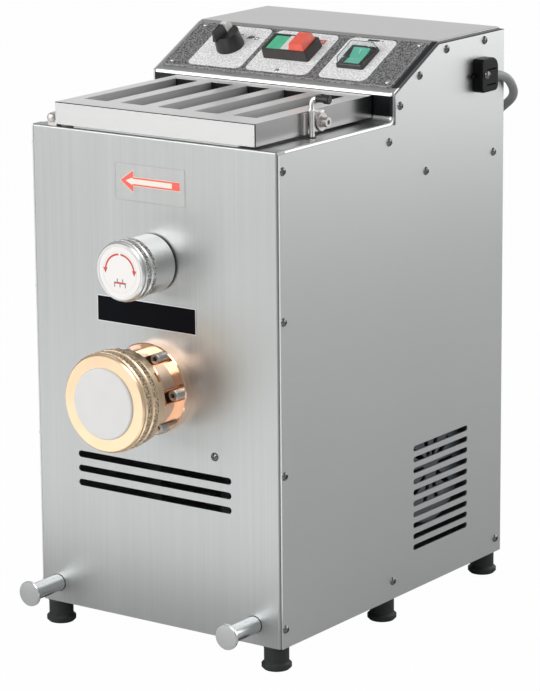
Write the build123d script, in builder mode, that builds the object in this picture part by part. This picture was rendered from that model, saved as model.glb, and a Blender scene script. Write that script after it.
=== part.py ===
from build123d import *
import math
import os

# Electric pasta maker: a stainless steel bench machine. A paddle kneads dough in the tank under the guard
# lid, and an auger below it presses the dough out through a die that a ring nut holds on the front.
# +Z is up, the front panel faces -Y, and the origin is in the middle of the whole machine at the surface it
# stands on, measured without its mains lead.

os.makedirs("parts", exist_ok=True)

# ------------------------------------------------------------ driving dimensions, millimetres
# Casing
width = 260.0
depth = 350.0
deck_height = 426.0
riser_setback = 172.0
riser_height = 25.0
slope_run = 71.0
slope_rise = 36.0
sheet = 1.5
seam = 0.3
edge_reveal = 2.5
flange_depth = 12.0
cover_skirt = 14.0
fold_radius = 3.5
front_fold_radius = 1.8
bend_radius = 5.0
base_sheet = 2.0
upright_leg = 32.0
upright_side_leg = 24.0
upright_sheet = 2.0
upright_bend = 2.4

# Feet, posts and fasteners
foot_height = 21.0
foot_radius = 10.8
foot_flare = 13.0
foot_inset_x = 13.0
foot_inset_y = 10.5
post_radius = 7.5
post_reach = 41.0
post_disc_radius = 11.2
post_disc = 3.0
post_left = 19.0
post_right = 28.5
post_height = 17.5
screw_head_radius = 4.0
screw_head = 2.4
screw_shank_radius = 2.0
screw_shank = 6.0
screw_hole_gap = 0.2

# Vents
front_vent_length = 164.0
front_vent_height = 6.0
front_vent_pitch = 12.8
front_vent_rows = 3
front_vent_centre = 127.0
front_vent_level = 126.8
side_vent_length = 89.0
side_vent_height = 5.0
side_vent_pitch = 10.1
side_vent_rows = 10
side_vent_from_back = 102.5
side_vent_level = 84.0
rear_vent_share = 0.7

# Kneading tank and paddle
paddle_level = 319.3
tank_radius = 80.0
tank_sheet = 1.5
tank_front = 8.0
tank_back = 160.0
tank_rim = 8.0
paddle_reach = 75.0
paddle_bar_radius = 5.0
paddle_bars = 5
shaft_radius = 10.0
journal_radius = 6.0
running_gap = 0.05
free_gap = 0.3

# Extrusion barrel, auger, die and ring nut
die_level = 211.3
barrel_bore = 26.0
barrel_wall = 6.0
barrel_flange_radius = 40.0
barrel_flange_back = 6.0
feed_port_width = 40.0
feed_port_front = 20.0
feed_port_back = 140.0
bronze_flange = 10.0
bronze_neck_radius = 34.0
bronze_neck = 21.0
bronze_groove_radius = 29.0
bronze_groove = 9.0
bronze_thread_radius = 33.0
bronze_thread = 22.0
cap_screws = 6
cap_screw_circle = 34.5
cap_screw_head_radius = 4.75
cap_screw_head = 11.0
cap_screw_pocket = 7.0
cap_screw_phase = 2.0
nut_radius = 42.75
nut_length = 30.5
nut_lip = 4.8
nut_lip_bore = 30.9
nut_notches = 6
nut_notch_width = 9.0
nut_notch_depth = 3.5
die_flange = 3.7
die_dome = 2.0
auger_pitch = 32.0
auger_land = 4.0
auger_nose = 8.0

# Aluminium knob that carries the paddle's front journal
knob_radius = 26.0
knob_length = 46.0
knob_washer = 1.5
knob_washer_radius = 24.5
knob_spigot_radius = 15.0
knob_spigot = 22.0
knob_recess_radius = 22.0

# Drive train
plate_front = 166.0
plate_thickness = 8.0
plate_side_gap = 8.0
plate_height = 400.0
bearing_radius = 21.0
bearing_width = 12.0
bearing_step = 2.0
gear_module = 3.0
auger_teeth = 32
paddle_teeth = 40
pinion_teeth = 16
gear_face = 12.0
gear_gap = 8.0
gear_backlash = 0.06
pinion_offset = 52.0
pinion_shaft_radius = 9.0
worm_distance = 60.0
gearbox_radius = 45.0
gearbox_depth = 50.0
worm_case_radius = 30.0
worm_case_overhang = 46.0
motor_radius = 52.0
motor_fins = 18
motor_fin_height = 4.0
fan_cowl_length = 30.0
fan_cowl_sheet = 1.5
fan_radius = 42.0
fan_blades = 7
cowl_side_gap = 9.0

# Lid, hinge and latch
lid_left = 28.5
lid_right = 22.5
lid_gap = 2.4
lid_height = 19.1
lid_overhang = 1.0
lid_back_gap = 1.5
lid_sheet = 1.2
lid_slots = 5
lid_bar = 14.0
lid_border_left = 11.5
lid_border_right = 16.5
lid_border_front = 25.0
lid_border_back = 15.5
hinge_offset = 5.2
hinge_level = 7.2
hinge_pin_radius = 2.5
hinge_lug_radius = 4.5
hinge_lug_length = 6.5
hinge_head_radius = 4.2
hinge_head = 4.0
hinge_inset = 1.0
catch_setback = 84.5
catch_level = 12.0
catch_radius = 8.0
catch_disc_thickness = 3.0
catch_spacer = 5.5
catch_washer = 1.0
catch_head_radius = 4.25
catch_head = 5.0
catch_bolt_radius = 2.5
block_setback = 64.5
block_length = 6.5
block_thickness = 3.0
rod_radius = 2.3
rod_offset = 6.0
rod_setback = 72.0
rod_height = 33.5
rod_bend = 5.0
rod_arm = 18.5
rod_below = 10.0
rod_finger_level = 22.5
rod_finger_length = 11.0
rod_finger_width = 5.0
rod_finger_thickness = 2.0
sleeve_radius = 3.0
sleeve_length = 7.5
cap_radius = 3.8
cap_length = 5.5
bushing_radius = 4.0
bushing_height = 0.8

# Control panel, measured up the slope from its lower bend
overlay_margin = 7.2
overlay_low = 6.0
overlay_high = 75.0
overlay_thickness = 1.2
overlay_corner = 4.0
overlay_screw_inset = 7.4
overlay_screw_top = 5.0
overlay_screw_radius = 2.6
selector_from_left = 61.0
selector_up = 41.4
selector_radius = 13.0
selector_height = 15.0
selector_taper = 6.0
selector_handle = 8.3
selector_handle_shift = -2.8
selector_handle_width = 7.5
selector_handle_taper = 9.0
selector_tip = 15.1
selector_insert_reach = 9.7
selector_insert_width = 5.4
selector_shaft_radius = 3.0
buttons_from_left = 128.4
buttons_up = 42.4
buttons_width = 49.0
buttons_depth = 26.0
buttons_height = 9.5
button_width = 16.0
button_depth = 20.5
button_gap = 9.5
stop_rise = 6.0
button_travel = 3.0
rocker_from_right = 61.8
rocker_up = 41.5
bezel_width = 28.5
bezel_depth = 31.0
bezel_height = 3.6
rocker_window_width = 17.0
rocker_window_depth = 23.0
rocker_tilt = 7.0
rocker_cover_height = 7.0
rocker_cover_wall = 0.8

# Mains lead
gland_from_back = 25.0
gland_length = 27.5
gland_level = 449.0
gland_height = 30.0
gland_screw_from_back = 43.8
gland_peg_radius = 1.7
gland_peg = 8.0
gland_reach = 12.4
gland_step = 3.0
gland_clamp_height = 15.0
cord_radius = 4.0
cord_drop = 1.5
coil_radius = 44.0
coil_spacing = 8.3
plug_length = 46.0
plug_radius = 18.5
plug_pin_radius = 2.4
plug_pin = 19.0

# ------------------------------------------------------------ derived places
barrel_reach = bronze_flange + bronze_neck + bronze_groove + bronze_thread
die_reach = barrel_reach + free_gap + die_flange + nut_lip + die_dome
left = -(width + gland_reach - screw_head) / 2
right = left + width
middle = (left + right) / 2
front = -(depth + screw_head - die_reach) / 2
back = front + depth
base = foot_height
deck = base + deck_height
step = deck + riser_height
top = step + slope_rise
inner_left = left + sheet + seam
inner_right = right - sheet - seam
inner_width = inner_right - inner_left
inner_back = back - sheet - seam
riser = front + riser_setback
tank_half = tank_radius + tank_sheet
tank_opening_width = 2 * (tank_half + seam)
tank_opening_length = tank_back - tank_front + 2 * seam
slope_angle = math.atan2(slope_rise, slope_run)
slope_length = math.hypot(slope_rise, slope_run)

front_face = Plane(origin=(left, front, base), x_dir=(1, 0, 0), z_dir=(0, -1, 0))
right_face = Plane(origin=(right, front, base), x_dir=(0, 1, 0), z_dir=(1, 0, 0))
left_face = Plane(origin=(left, front, base), x_dir=(0, -1, 0), z_dir=(-1, 0, 0))
rear_face = Plane(origin=(right, back, base), x_dir=(-1, 0, 0), z_dir=(0, 1, 0))
slope_normal = (0, -math.sin(slope_angle), math.cos(slope_angle))
slope_face = Plane(origin=(left, riser, step), x_dir=(1, 0, 0), z_dir=slope_normal)


def save(piece, name):
    """Labels a finished piece and writes it as its own STEP file."""
    piece.part.label = name
    export_step(piece.part, f"parts/{name}.step")


def turn(plane, outline, mode=Mode.ADD):
    """Turns a closed outline of (distance along the plane's x axis, radius) points about that axis."""
    with BuildSketch(plane) as profile:
        with BuildLine():
            Polyline(*outline, close=True)
        make_face()
    revolve(profile.sketch, axis=Axis(plane.origin, plane.x_dir), mode=mode)


def outward(x, z):
    """A turning plane whose axis leaves the front panel at x and height z."""
    return Plane(origin=(x, front, z), x_dir=(0, -1, 0), z_dir=(-1, 0, 0))


def facing_front(x, y, z):
    """A sketch plane at a point, facing the user, with x to the right and y up."""
    return Plane(origin=(x, y, z), x_dir=(1, 0, 0), z_dir=(0, -1, 0))


def on_slope(from_left, up):
    """A sketch plane on the control panel, with x to the right and y up the slope."""
    origin = slope_face.from_local_coords((from_left, up, 0))
    return Plane(origin=origin, x_dir=(1, 0, 0), z_dir=slope_normal)


def ring(inner, outer, start, end):
    """The outline of a plain ring from start to end along its axis."""
    return [(start, inner), (start, outer), (end, outer), (end, inner)]


def screws(plane, points, head_radius, head, shank_radius, shank):
    """Pan head screws at points of a plane: a coned head outside and a plain shank inside."""
    with BuildSketch(plane) as heads:
        with Locations(*points):
            Circle(head_radius)
    extrude(heads.sketch, amount=head, taper=30)
    with BuildSketch(plane) as shanks:
        with Locations(*points):
            Circle(shank_radius)
    extrude(shanks.sketch, amount=-shank)


# ------------------------------------------------------------ casing screws' places
near_edge = 6.0
far_edge = 9.0
side_screw_places = [
    (near_edge, deck_height - 16.6),
    (near_edge, 283.0),
    (near_edge, 151.0),
    (near_edge, 17.0),
    (riser_setback - 2, 16.5),
    (depth - far_edge, 13.0),
    (depth - 17, deck_height - 50),
    (riser_setback + 50, deck_height - 50),
    (riser_setback - 8, deck_height - 16),
    (riser_setback + 9, deck_height + 13),
    (riser_setback + 39.5, deck_height + 35),
    (riser_setback + 82.5, deck_height + 52.5),
    (depth - 0.31 * (depth - riser_setback - slope_run), deck_height + 52.5),
]
front_screw_place = (192.0, 158.7)
rear_screw_places = [
    (x, z) for x in (14.0, width - 14.0) for z in (17.0, deck_height / 2, deck_height + 40)
]
gland_screw_place = (depth - gland_screw_from_back, gland_level + 0.5)

# ------------------------------------------------------------ front panel
with BuildPart() as front_panel:
    with BuildSketch(Plane(origin=(middle, front, base), x_dir=(1, 0, 0), z_dir=(0, -1, 0))):
        Rectangle(inner_width, deck_height, align=(Align.CENTER, Align.MIN))
    extrude(amount=-flange_depth)
    rounded = front_panel.edges().filter_by(Axis.Z).group_by(Axis.Y)[0]
    rounded += front_panel.faces().sort_by(Axis.Z)[-1].edges().group_by(Axis.Y)[0]
    fillet(rounded, front_fold_radius)
    opened = [front_panel.faces().sort_by(Axis.Y)[-1], front_panel.faces().sort_by(Axis.Z)[0]]
    offset(amount=-sheet, openings=opened)
    with BuildSketch(front_face):
        with Locations((front_vent_centre, front_vent_level)):
            with GridLocations(0, front_vent_pitch, 1, front_vent_rows):
                SlotOverall(front_vent_length, front_vent_height)
        with Locations((post_left, post_height), (width - post_right, post_height)):
            Circle(post_radius + 2 * free_gap)
        with Locations(front_screw_place):
            Circle(screw_shank_radius + screw_hole_gap)
        with Locations((width / 2, paddle_level)):
            Circle(knob_spigot_radius + free_gap)
        with Locations((width / 2, die_level)):
            Circle(barrel_bore)
    extrude(amount=-2 * sheet, mode=Mode.SUBTRACT)
    with BuildSketch(Plane(origin=(middle, front, deck))):
        with Locations((0, (tank_front + tank_back) / 2)):
            Rectangle(tank_opening_width, tank_opening_length)
    extrude(amount=-2 * sheet, mode=Mode.SUBTRACT)
save(front_panel, "front_panel")


# ------------------------------------------------------------ side panels
def side_outline(drop):
    """The casing's side seen square on, from the front edge round, its upper edges lowered by drop."""
    slant = drop * math.tan(slope_angle / 2)
    roof_height = deck_height + riser_height + slope_rise - drop
    crest_drop = drop * (1 / math.cos(slope_angle) - math.tan(slope_angle))
    return [
        (sheet + seam, 0),
        (depth, 0),
        (depth, roof_height),
        (riser_setback + slope_run + slant, roof_height),
        (riser_setback + drop, deck_height + riser_height - crest_drop),
        (riser_setback + drop, deck_height - drop),
        (sheet + seam, deck_height - drop),
    ]


def side_panel(plane, hand):
    """One side: a flat sheet with vent slots and screw holes; hand is 1 on the right and -1 on the left."""
    with BuildSketch(plane) as sheet_outline:
        with BuildLine():
            Polyline(*[(hand * y, z) for y, z in side_outline(edge_reveal)], close=True)
        make_face()
        with Locations((hand * (depth - side_vent_from_back), side_vent_level)):
            with GridLocations(0, side_vent_pitch, 1, side_vent_rows):
                SlotOverall(side_vent_length, side_vent_height, mode=Mode.SUBTRACT)
        with Locations(*[(hand * y, z) for y, z in side_screw_places]):
            Circle(screw_shank_radius + screw_hole_gap, mode=Mode.SUBTRACT)
    extrude(sheet_outline.sketch, amount=-sheet)


with BuildPart() as side_panel_right:
    side_panel(right_face, 1)
    with BuildSketch(right_face):
        with Locations(gland_screw_place):
            Circle(screw_shank_radius + screw_hole_gap)
        with Locations((gland_screw_place[0] + gland_length / 3, gland_level)):
            Circle(cord_radius + free_gap)
    extrude(amount=-2 * sheet, mode=Mode.SUBTRACT)
save(side_panel_right, "side_panel_right")

with BuildPart() as side_panel_left:
    side_panel(left_face, -1)
save(side_panel_left, "side_panel_left")

# ------------------------------------------------------------ top cover: deck, riser, slope and top
deck_start = front + flange_depth + seam
with BuildPart() as top_cover:
    with BuildSketch(Plane.YZ.offset(inner_left)):
        with BuildLine():
            Polyline(
                (deck_start, deck - cover_skirt),
                (inner_back, deck - cover_skirt),
                (inner_back, top),
                (riser + slope_run, top),
                (riser, step),
                (riser, deck),
                (deck_start, deck),
                close=True,
            )
        make_face()
    extrude(amount=inner_width)
    cross_edges = top_cover.edges().filter_by(Axis.X)
    riser_edges = cross_edges.filter_by(lambda e: abs(e.center().Y - riser) < 0.1)
    cove = riser_edges.filter_by(lambda e: abs(e.center().Z - deck) < 0.1)
    crest = riser_edges.filter_by(lambda e: abs(e.center().Z - step) < 0.1)
    brow = cross_edges.filter_by(lambda e: abs(e.center().Y - riser - slope_run) < 0.1)
    back_edges = cross_edges.filter_by(lambda e: abs(e.center().Y - inner_back) < 0.1)
    tail = back_edges.filter_by(lambda e: abs(e.center().Z - top) < 0.1)
    fillet(cove + crest + brow, bend_radius)
    fillet(tail, fold_radius)
    rims = []
    for side_face in (top_cover.faces().sort_by(Axis.X)[0], top_cover.faces().sort_by(Axis.X)[-1]):
        upper = side_face.edges().filter_by(lambda e: e.center().Z > deck - 1)
        rims += upper.filter_by(lambda e: e.center().Y < inner_back - 0.1)
    fillet(rims, fold_radius - 0.5)
    offset(amount=-sheet, openings=top_cover.faces().sort_by(Axis.Z)[0])
    with BuildSketch(Plane(origin=(middle, front, deck))):
        with Locations((0, (tank_front + tank_back) / 2)):
            Rectangle(tank_opening_width, tank_opening_length)
        with Locations((right - lid_right + rod_offset - middle, rod_setback)):
            Circle(bushing_radius - 1)
    extrude(amount=-cover_skirt, mode=Mode.SUBTRACT)
    with BuildSketch(slope_face):
        with Locations((selector_from_left, selector_up)):
            Circle(selector_shaft_radius + 3)
        with Locations((buttons_from_left, buttons_up)):
            Rectangle(buttons_width - 7, buttons_depth - 4)
        with Locations((width - rocker_from_right, rocker_up)):
            Rectangle(bezel_width - 3, bezel_depth - 3)
    extrude(amount=-2 * sheet, mode=Mode.SUBTRACT)
save(top_cover, "top_cover")

# ------------------------------------------------------------ rear panel
with BuildPart() as rear_panel:
    with BuildSketch(rear_face):
        with Locations((width / 2, 0)):
            rear_height = deck_height + riser_height + slope_rise - edge_reveal
            Rectangle(inner_width, rear_height, align=(Align.CENTER, Align.MIN))
        with Locations((rear_vent_share * width, side_vent_level + side_vent_pitch)):
            with GridLocations(0, side_vent_pitch, 1, side_vent_rows - 2):
                SlotOverall(side_vent_length, side_vent_height, mode=Mode.SUBTRACT)
        with Locations(*rear_screw_places):
            Circle(screw_shank_radius + screw_hole_gap, mode=Mode.SUBTRACT)
    extrude(amount=-sheet)
save(rear_panel, "rear_panel")

# ------------------------------------------------------------ base plate
with BuildPart() as base_plate:
    with BuildSketch(Plane(origin=(middle, front, base))):
        with Locations((0, depth / 2)):
            RectangleRounded(inner_width - 2 * sheet - 2 * seam, depth - 2 * sheet, fold_radius)
        with Locations((0, depth / 2)):
            with GridLocations(0, 30, 1, 3):
                SlotOverall(90, 8, mode=Mode.SUBTRACT)
    extrude(amount=base_sheet)
save(base_plate, "base_plate")

# ------------------------------------------------------------ four corner uprights
upright_top = deck - cover_skirt - seam
with BuildPart() as frame_uprights:
    for x, toward_x in ((inner_left + sheet + seam, 1), (inner_right - sheet - seam, -1)):
        for y, toward_y in ((front + sheet, 1), (back - sheet, -1)):
            hand = toward_x * toward_y
            foot = (x, y, base + base_sheet)
            with BuildSketch(Plane(origin=foot, x_dir=(toward_x, 0, 0), z_dir=(0, 0, hand))):
                with BuildLine():
                    Polyline(
                        (upright_bend, 0),
                        (upright_leg, 0),
                        (upright_leg, upright_sheet),
                        (upright_sheet, upright_sheet),
                        (upright_sheet, upright_side_leg),
                        (0, upright_side_leg),
                        (0, upright_bend),
                        close=True,
                    )
                make_face()
            extrude(amount=hand * (upright_top - base - base_sheet))
save(frame_uprights, "frame_uprights")

# ------------------------------------------------------------ rubber feet
foot_profile = [
    (0, 0),
    (0, foot_flare - 2),
    (2, foot_flare),
    (5, foot_flare),
    (7, foot_radius),
    (foot_height - 2, foot_radius),
    (foot_height - 1.2, foot_radius + 0.6),
    (foot_height, foot_radius),
    (foot_height, 0),
]
foot_rows = (foot_inset_y, riser_setback, depth - foot_inset_y)
with BuildPart() as rubber_feet:
    for x in (left + foot_inset_x, right - foot_inset_x):
        for y in foot_rows:
            turn(Plane(origin=(x, front + y, 0), x_dir=(0, 0, 1), z_dir=(0, 1, 0)), foot_profile)
save(rubber_feet, "rubber_feet")

# ------------------------------------------------------------ front posts with disc ends
post_profile = [
    (-sheet - upright_sheet - 8, 0),
    (-sheet - upright_sheet - 8, 4),
    (-sheet, 4),
    (-sheet, post_radius),
    (post_reach - post_disc, post_radius),
    (post_reach - post_disc, post_disc_radius - 0.6),
    (post_reach - post_disc + 0.6, post_disc_radius),
    (post_reach - 0.6, post_disc_radius),
    (post_reach, post_disc_radius - 0.6),
    (post_reach, 0),
]
with BuildPart() as front_posts:
    for x in (left + post_left, right - post_right):
        turn(outward(x, base + post_height), post_profile)
save(front_posts, "front_posts")

# ------------------------------------------------------------ casing screws
with BuildPart() as casing_screws:
    screws(right_face, side_screw_places, screw_head_radius, screw_head, screw_shank_radius, screw_shank)
    screws(
        left_face,
        [(-y, z) for y, z in side_screw_places],
        screw_head_radius,
        screw_head,
        screw_shank_radius,
        screw_shank,
    )
    screws(front_face, [front_screw_place], screw_head_radius, screw_head, screw_shank_radius, screw_shank)
    screws(rear_face, rear_screw_places, screw_head_radius, screw_head, screw_shank_radius, screw_shank)
    screws(
        right_face.offset(gland_reach - screw_head),
        [gland_screw_place],
        screw_head_radius,
        screw_head,
        screw_shank_radius,
        gland_reach + screw_shank,
    )
save(casing_screws, "casing_screws")

# ------------------------------------------------------------ kneading tank
tank_bottom_centre = facing_front(middle, front + tank_front, base + paddle_level)
barrel_outer = barrel_bore + barrel_wall
tank_length = tank_back - tank_front
rim_level = deck - base - paddle_level


def trough(radius, rise):
    """A U section: a half round below the paddle's axis and straight walls above it."""
    Circle(radius)
    Rectangle(2 * radius, rise, align=(Align.CENTER, Align.MIN))


with BuildPart() as mixing_tank:
    with BuildSketch(tank_bottom_centre):
        trough(tank_half, rim_level)
    extrude(amount=-tank_length)
    with BuildSketch(Plane(origin=(middle, front + (tank_front + tank_back) / 2, deck))):
        RectangleRounded(2 * (tank_half + tank_rim), tank_length + 2 * (tank_front - 4), 4)
    extrude(amount=tank_sheet)
    with BuildSketch(facing_front(middle, front + tank_front + tank_sheet, base + paddle_level)):
        trough(tank_radius, rim_level + 2 * tank_sheet)
    extrude(amount=-(tank_length - 2 * tank_sheet), mode=Mode.SUBTRACT)
    with BuildSketch(tank_bottom_centre):
        Circle(knob_spigot_radius + free_gap)
    extrude(amount=-tank_length, mode=Mode.SUBTRACT)
    with BuildSketch(facing_front(middle, front, base + die_level)):
        Circle(barrel_outer)
    extrude(amount=-depth, mode=Mode.SUBTRACT)
save(mixing_tank, "mixing_tank")

# ------------------------------------------------------------ extrusion barrel
with BuildPart() as extrusion_barrel:
    turn(
        outward(middle, base + die_level),
        [
            (-plate_front, barrel_bore),
            (-plate_front, barrel_outer),
            (-sheet - barrel_flange_back, barrel_outer),
            (-sheet - barrel_flange_back, barrel_flange_radius),
            (-sheet, barrel_flange_radius),
            (-sheet, barrel_bore),
        ],
    )
    with BuildSketch(Plane(origin=(middle, front, base + die_level))):
        with Locations((0, (feed_port_front + feed_port_back) / 2)):
            Rectangle(feed_port_width, feed_port_back - feed_port_front)
    extrude(amount=2 * barrel_outer, mode=Mode.SUBTRACT)
save(extrusion_barrel, "extrusion_barrel")

# ------------------------------------------------------------ bronze flange with the nut's thread
neck_end = bronze_flange + bronze_neck
groove_end = neck_end + bronze_groove
thread_end = groove_end + bronze_thread
with BuildPart() as barrel_flange:
    turn(
        outward(middle, base + die_level),
        [
            (0, barrel_bore),
            (0, barrel_flange_radius),
            (bronze_flange - 1, barrel_flange_radius),
            (bronze_flange, barrel_flange_radius - 1),
            (bronze_flange, bronze_neck_radius),
            (neck_end - 1, bronze_neck_radius),
            (neck_end, bronze_neck_radius - 1),
            (neck_end, bronze_groove_radius),
            (groove_end, bronze_groove_radius),
            (groove_end, bronze_thread_radius - 1),
            (groove_end + 1, bronze_thread_radius),
            (thread_end, bronze_thread_radius),
            (thread_end, barrel_bore),
        ],
    )
    with BuildSketch(facing_front(middle, front - bronze_flange, base + die_level)):
        with PolarLocations(cap_screw_circle, cap_screws, start_angle=cap_screw_phase):
            Circle(cap_screw_pocket)
    extrude(amount=bronze_neck, mode=Mode.SUBTRACT)
save(barrel_flange, "barrel_flange")

with BuildPart() as flange_screws:
    with BuildSketch(facing_front(middle, front - bronze_flange, base + die_level)):
        with PolarLocations(cap_screw_circle, cap_screws, start_angle=cap_screw_phase):
            Circle(cap_screw_head_radius)
    extrude(amount=cap_screw_head)
    chamfer(flange_screws.faces().sort_by(Axis.Y)[:cap_screws].edges(), 0.5)
    with BuildSketch(facing_front(middle, front - bronze_flange - cap_screw_head, base + die_level)):
        with PolarLocations(cap_screw_circle, cap_screws, start_angle=cap_screw_phase):
            RegularPolygon(2.3, 6)
    extrude(amount=-3, mode=Mode.SUBTRACT)
save(flange_screws, "flange_screws")

# ------------------------------------------------------------ die and ring nut
die_back = thread_end + free_gap
lip_inside = die_back + die_flange
nut_front = lip_inside + nut_lip
nut_back = nut_front - nut_length
with BuildPart() as die_insert:
    die_edge = nut_lip_bore - running_gap
    with BuildSketch(outward(middle, base + die_level)):
        with BuildLine():
            Polyline(
                (nut_front + die_dome, die_edge - die_dome),
                (nut_front + die_dome, 0),
                (die_back, 0),
                (die_back, bronze_thread_radius - free_gap),
                (lip_inside, bronze_thread_radius - free_gap),
                (lip_inside, die_edge),
                (nut_front, die_edge),
            )
            CenterArc((nut_front, die_edge - die_dome), die_dome, 0, 90)
        make_face()
    revolve(axis=Axis((middle, front, base + die_level), (0, -1, 0)))
save(die_insert, "die_insert")

nut_bore = bronze_thread_radius + running_gap
with BuildPart() as ring_nut:
    turn(
        outward(middle, base + die_level),
        [
            (nut_back, nut_bore),
            (nut_back, nut_radius - 1.5),
            (nut_back + 1, nut_radius - 0.8),
            (nut_back + 9, nut_radius - 0.8),
            (nut_back + 9.8, nut_radius - 1.6),
            (nut_back + 10.6, nut_radius),
            (nut_back + 16.6, nut_radius),
            (nut_back + 17.4, nut_radius - 0.8),
            (nut_back + 19.4, nut_radius - 0.8),
            (nut_back + 20.2, nut_radius),
            (nut_back + 26.2, nut_radius),
            (nut_back + 27, nut_radius - 0.8),
            (nut_front - 1.2, nut_radius - 0.8),
            (nut_front, nut_radius - 2),
            (nut_front, nut_lip_bore),
            (lip_inside, nut_lip_bore),
            (lip_inside, nut_bore),
        ],
    )
    with BuildSketch(facing_front(middle, front - nut_back, base + die_level)):
        with PolarLocations(nut_radius - nut_notch_depth / 2, nut_notches, start_angle=cap_screw_phase + 30):
            Rectangle(nut_notch_depth + 2, nut_notch_width)
    extrude(amount=5, mode=Mode.SUBTRACT)
save(ring_nut, "ring_nut")

# ------------------------------------------------------------ auger screw
auger_front = thread_end - auger_nose
auger_back = tank_back - 14.0
gear_front = plate_front + plate_thickness + gear_gap
gear_back = gear_front + gear_face
auger_radius = barrel_bore - running_gap
with BuildPart() as auger_screw:
    turn(
        outward(middle, base + die_level),
        [
            (auger_front, 0),
            (auger_front - auger_nose, shaft_radius),
            (-gear_back - 2, shaft_radius),
            (-gear_back - 2, 0),
        ],
    )
    flight_length = auger_front - auger_nose + auger_back
    spiral = Helix(
        pitch=auger_pitch,
        height=flight_length,
        radius=shaft_radius,
        center=(middle, front + auger_back, base + die_level),
        direction=(0, -1, 0),
    )
    flight_depth = auger_radius - shaft_radius + 1
    flight_out = (spiral @ 0) - Vector(middle, front + auger_back, base + die_level)
    with BuildSketch(Plane(origin=spiral @ 0, x_dir=flight_out, z_dir=spiral % 0)):
        with Locations((-1, 0)):
            Rectangle(flight_depth, auger_land, align=(Align.MIN, Align.CENTER))
    sweep(path=spiral, is_frenet=True)
save(auger_screw, "auger_screw")

# ------------------------------------------------------------ mixing paddle
paddle_level_z = base + paddle_level
spigot_end = knob_spigot - knob_washer
bar_span = tank_back - tank_front - 2 * 16.0
with BuildPart() as mixing_paddle:
    turn(
        outward(middle, paddle_level_z),
        [
            (-4, 0),
            (-4, journal_radius),
            (-spigot_end - 1, journal_radius),
            (-spigot_end - 1, shaft_radius),
            (-gear_back - 2, shaft_radius),
            (-gear_back - 2, 0),
        ],
    )
    for index in range(paddle_bars):
        bar_y = front + tank_front + 22 + index * (bar_span - 12) / (paddle_bars - 1)
        side = 1 if index % 2 == 0 else -1
        bar_foot = Plane(origin=(middle, bar_y, paddle_level_z), x_dir=(1, 0, 0), z_dir=(0, 0, side))
        with BuildSketch(bar_foot):
            Circle(paddle_bar_radius)
        extrude(amount=paddle_reach)
        with BuildSketch(bar_foot.offset(paddle_reach * 0.55)):
            Rectangle(4, 20)
        extrude(amount=paddle_reach * 0.4)
save(mixing_paddle, "mixing_paddle")

# ------------------------------------------------------------ aluminium knob and its washer
with BuildPart() as paddle_knob:
    turn(
        outward(middle, paddle_level_z),
        [
            (-spigot_end, journal_radius + running_gap),
            (-spigot_end, knob_spigot_radius),
            (knob_washer, knob_spigot_radius),
            (knob_washer, knob_radius - 2),
            (knob_washer + 1, knob_radius - 1),
            (knob_length - 18, knob_radius - 1),
            (knob_length - 17, knob_radius),
            (knob_length - 12, knob_radius),
            (knob_length - 11.2, knob_radius - 0.8),
            (knob_length - 10.3, knob_radius - 0.8),
            (knob_length - 9.5, knob_radius),
            (knob_length - 4.5, knob_radius),
            (knob_length - 3.7, knob_radius - 0.8),
            (knob_length - 1.2, knob_radius - 0.8),
            (knob_length, knob_radius - 2),
            (knob_length, knob_recess_radius),
            (knob_length - 0.5, knob_recess_radius),
            (knob_length - 0.5, 0),
            (0, 0),
            (0, journal_radius + running_gap),
        ],
    )
save(paddle_knob, "paddle_knob")

with BuildPart() as knob_washer_ring:
    washer_bore = knob_spigot_radius + free_gap
    turn(outward(middle, paddle_level_z), ring(washer_bore, knob_washer_radius, free_gap, knob_washer))
save(knob_washer_ring, "knob_washer")

# ------------------------------------------------------------ shaft seals
with BuildPart() as shaft_seals:
    seal_bore = shaft_radius + running_gap
    turn(outward(middle, paddle_level_z), ring(seal_bore, knob_spigot_radius, -plate_front, -tank_back))
    turn(outward(middle, base + die_level), ring(seal_bore, barrel_bore, -plate_front, -tank_back + 10))
save(shaft_seals, "shaft_seals")

# ------------------------------------------------------------ bearing plate and bearings
plate_bottom = base + base_sheet
with BuildPart() as bearing_plate:
    with BuildSketch(facing_front(middle, front + plate_front, plate_bottom)):
        Rectangle(width - 2 * plate_side_gap, plate_height, align=(Align.CENTER, Align.MIN))
        for level in (paddle_level, die_level):
            with Locations((0, level - base_sheet)):
                Circle(bearing_radius, mode=Mode.SUBTRACT)
        with Locations((0, 45)):
            Rectangle(120, 50, mode=Mode.SUBTRACT)
        with Locations((-pinion_offset, die_level - base_sheet - 50)):
            Circle(pinion_shaft_radius + 4, mode=Mode.SUBTRACT)
    extrude(amount=-plate_thickness)
save(bearing_plate, "bearing_plate")

with BuildPart() as shaft_bearings:
    for level in (paddle_level_z, base + die_level):
        turn(
            outward(middle, level),
            [
                (-plate_front, shaft_radius + running_gap),
                (-plate_front, bearing_radius),
                (-plate_front - plate_thickness, bearing_radius),
                (-plate_front - plate_thickness, bearing_radius - bearing_step),
                (-plate_front - bearing_width, bearing_radius - bearing_step),
                (-plate_front - bearing_width, shaft_radius + running_gap),
            ],
        )
save(shaft_bearings, "shaft_bearings")


# ------------------------------------------------------------ spur gears
pressure_angle = math.radians(20)


def involute(angle):
    """The involute function of a pressure angle in radians."""
    return math.tan(angle) - angle


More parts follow.
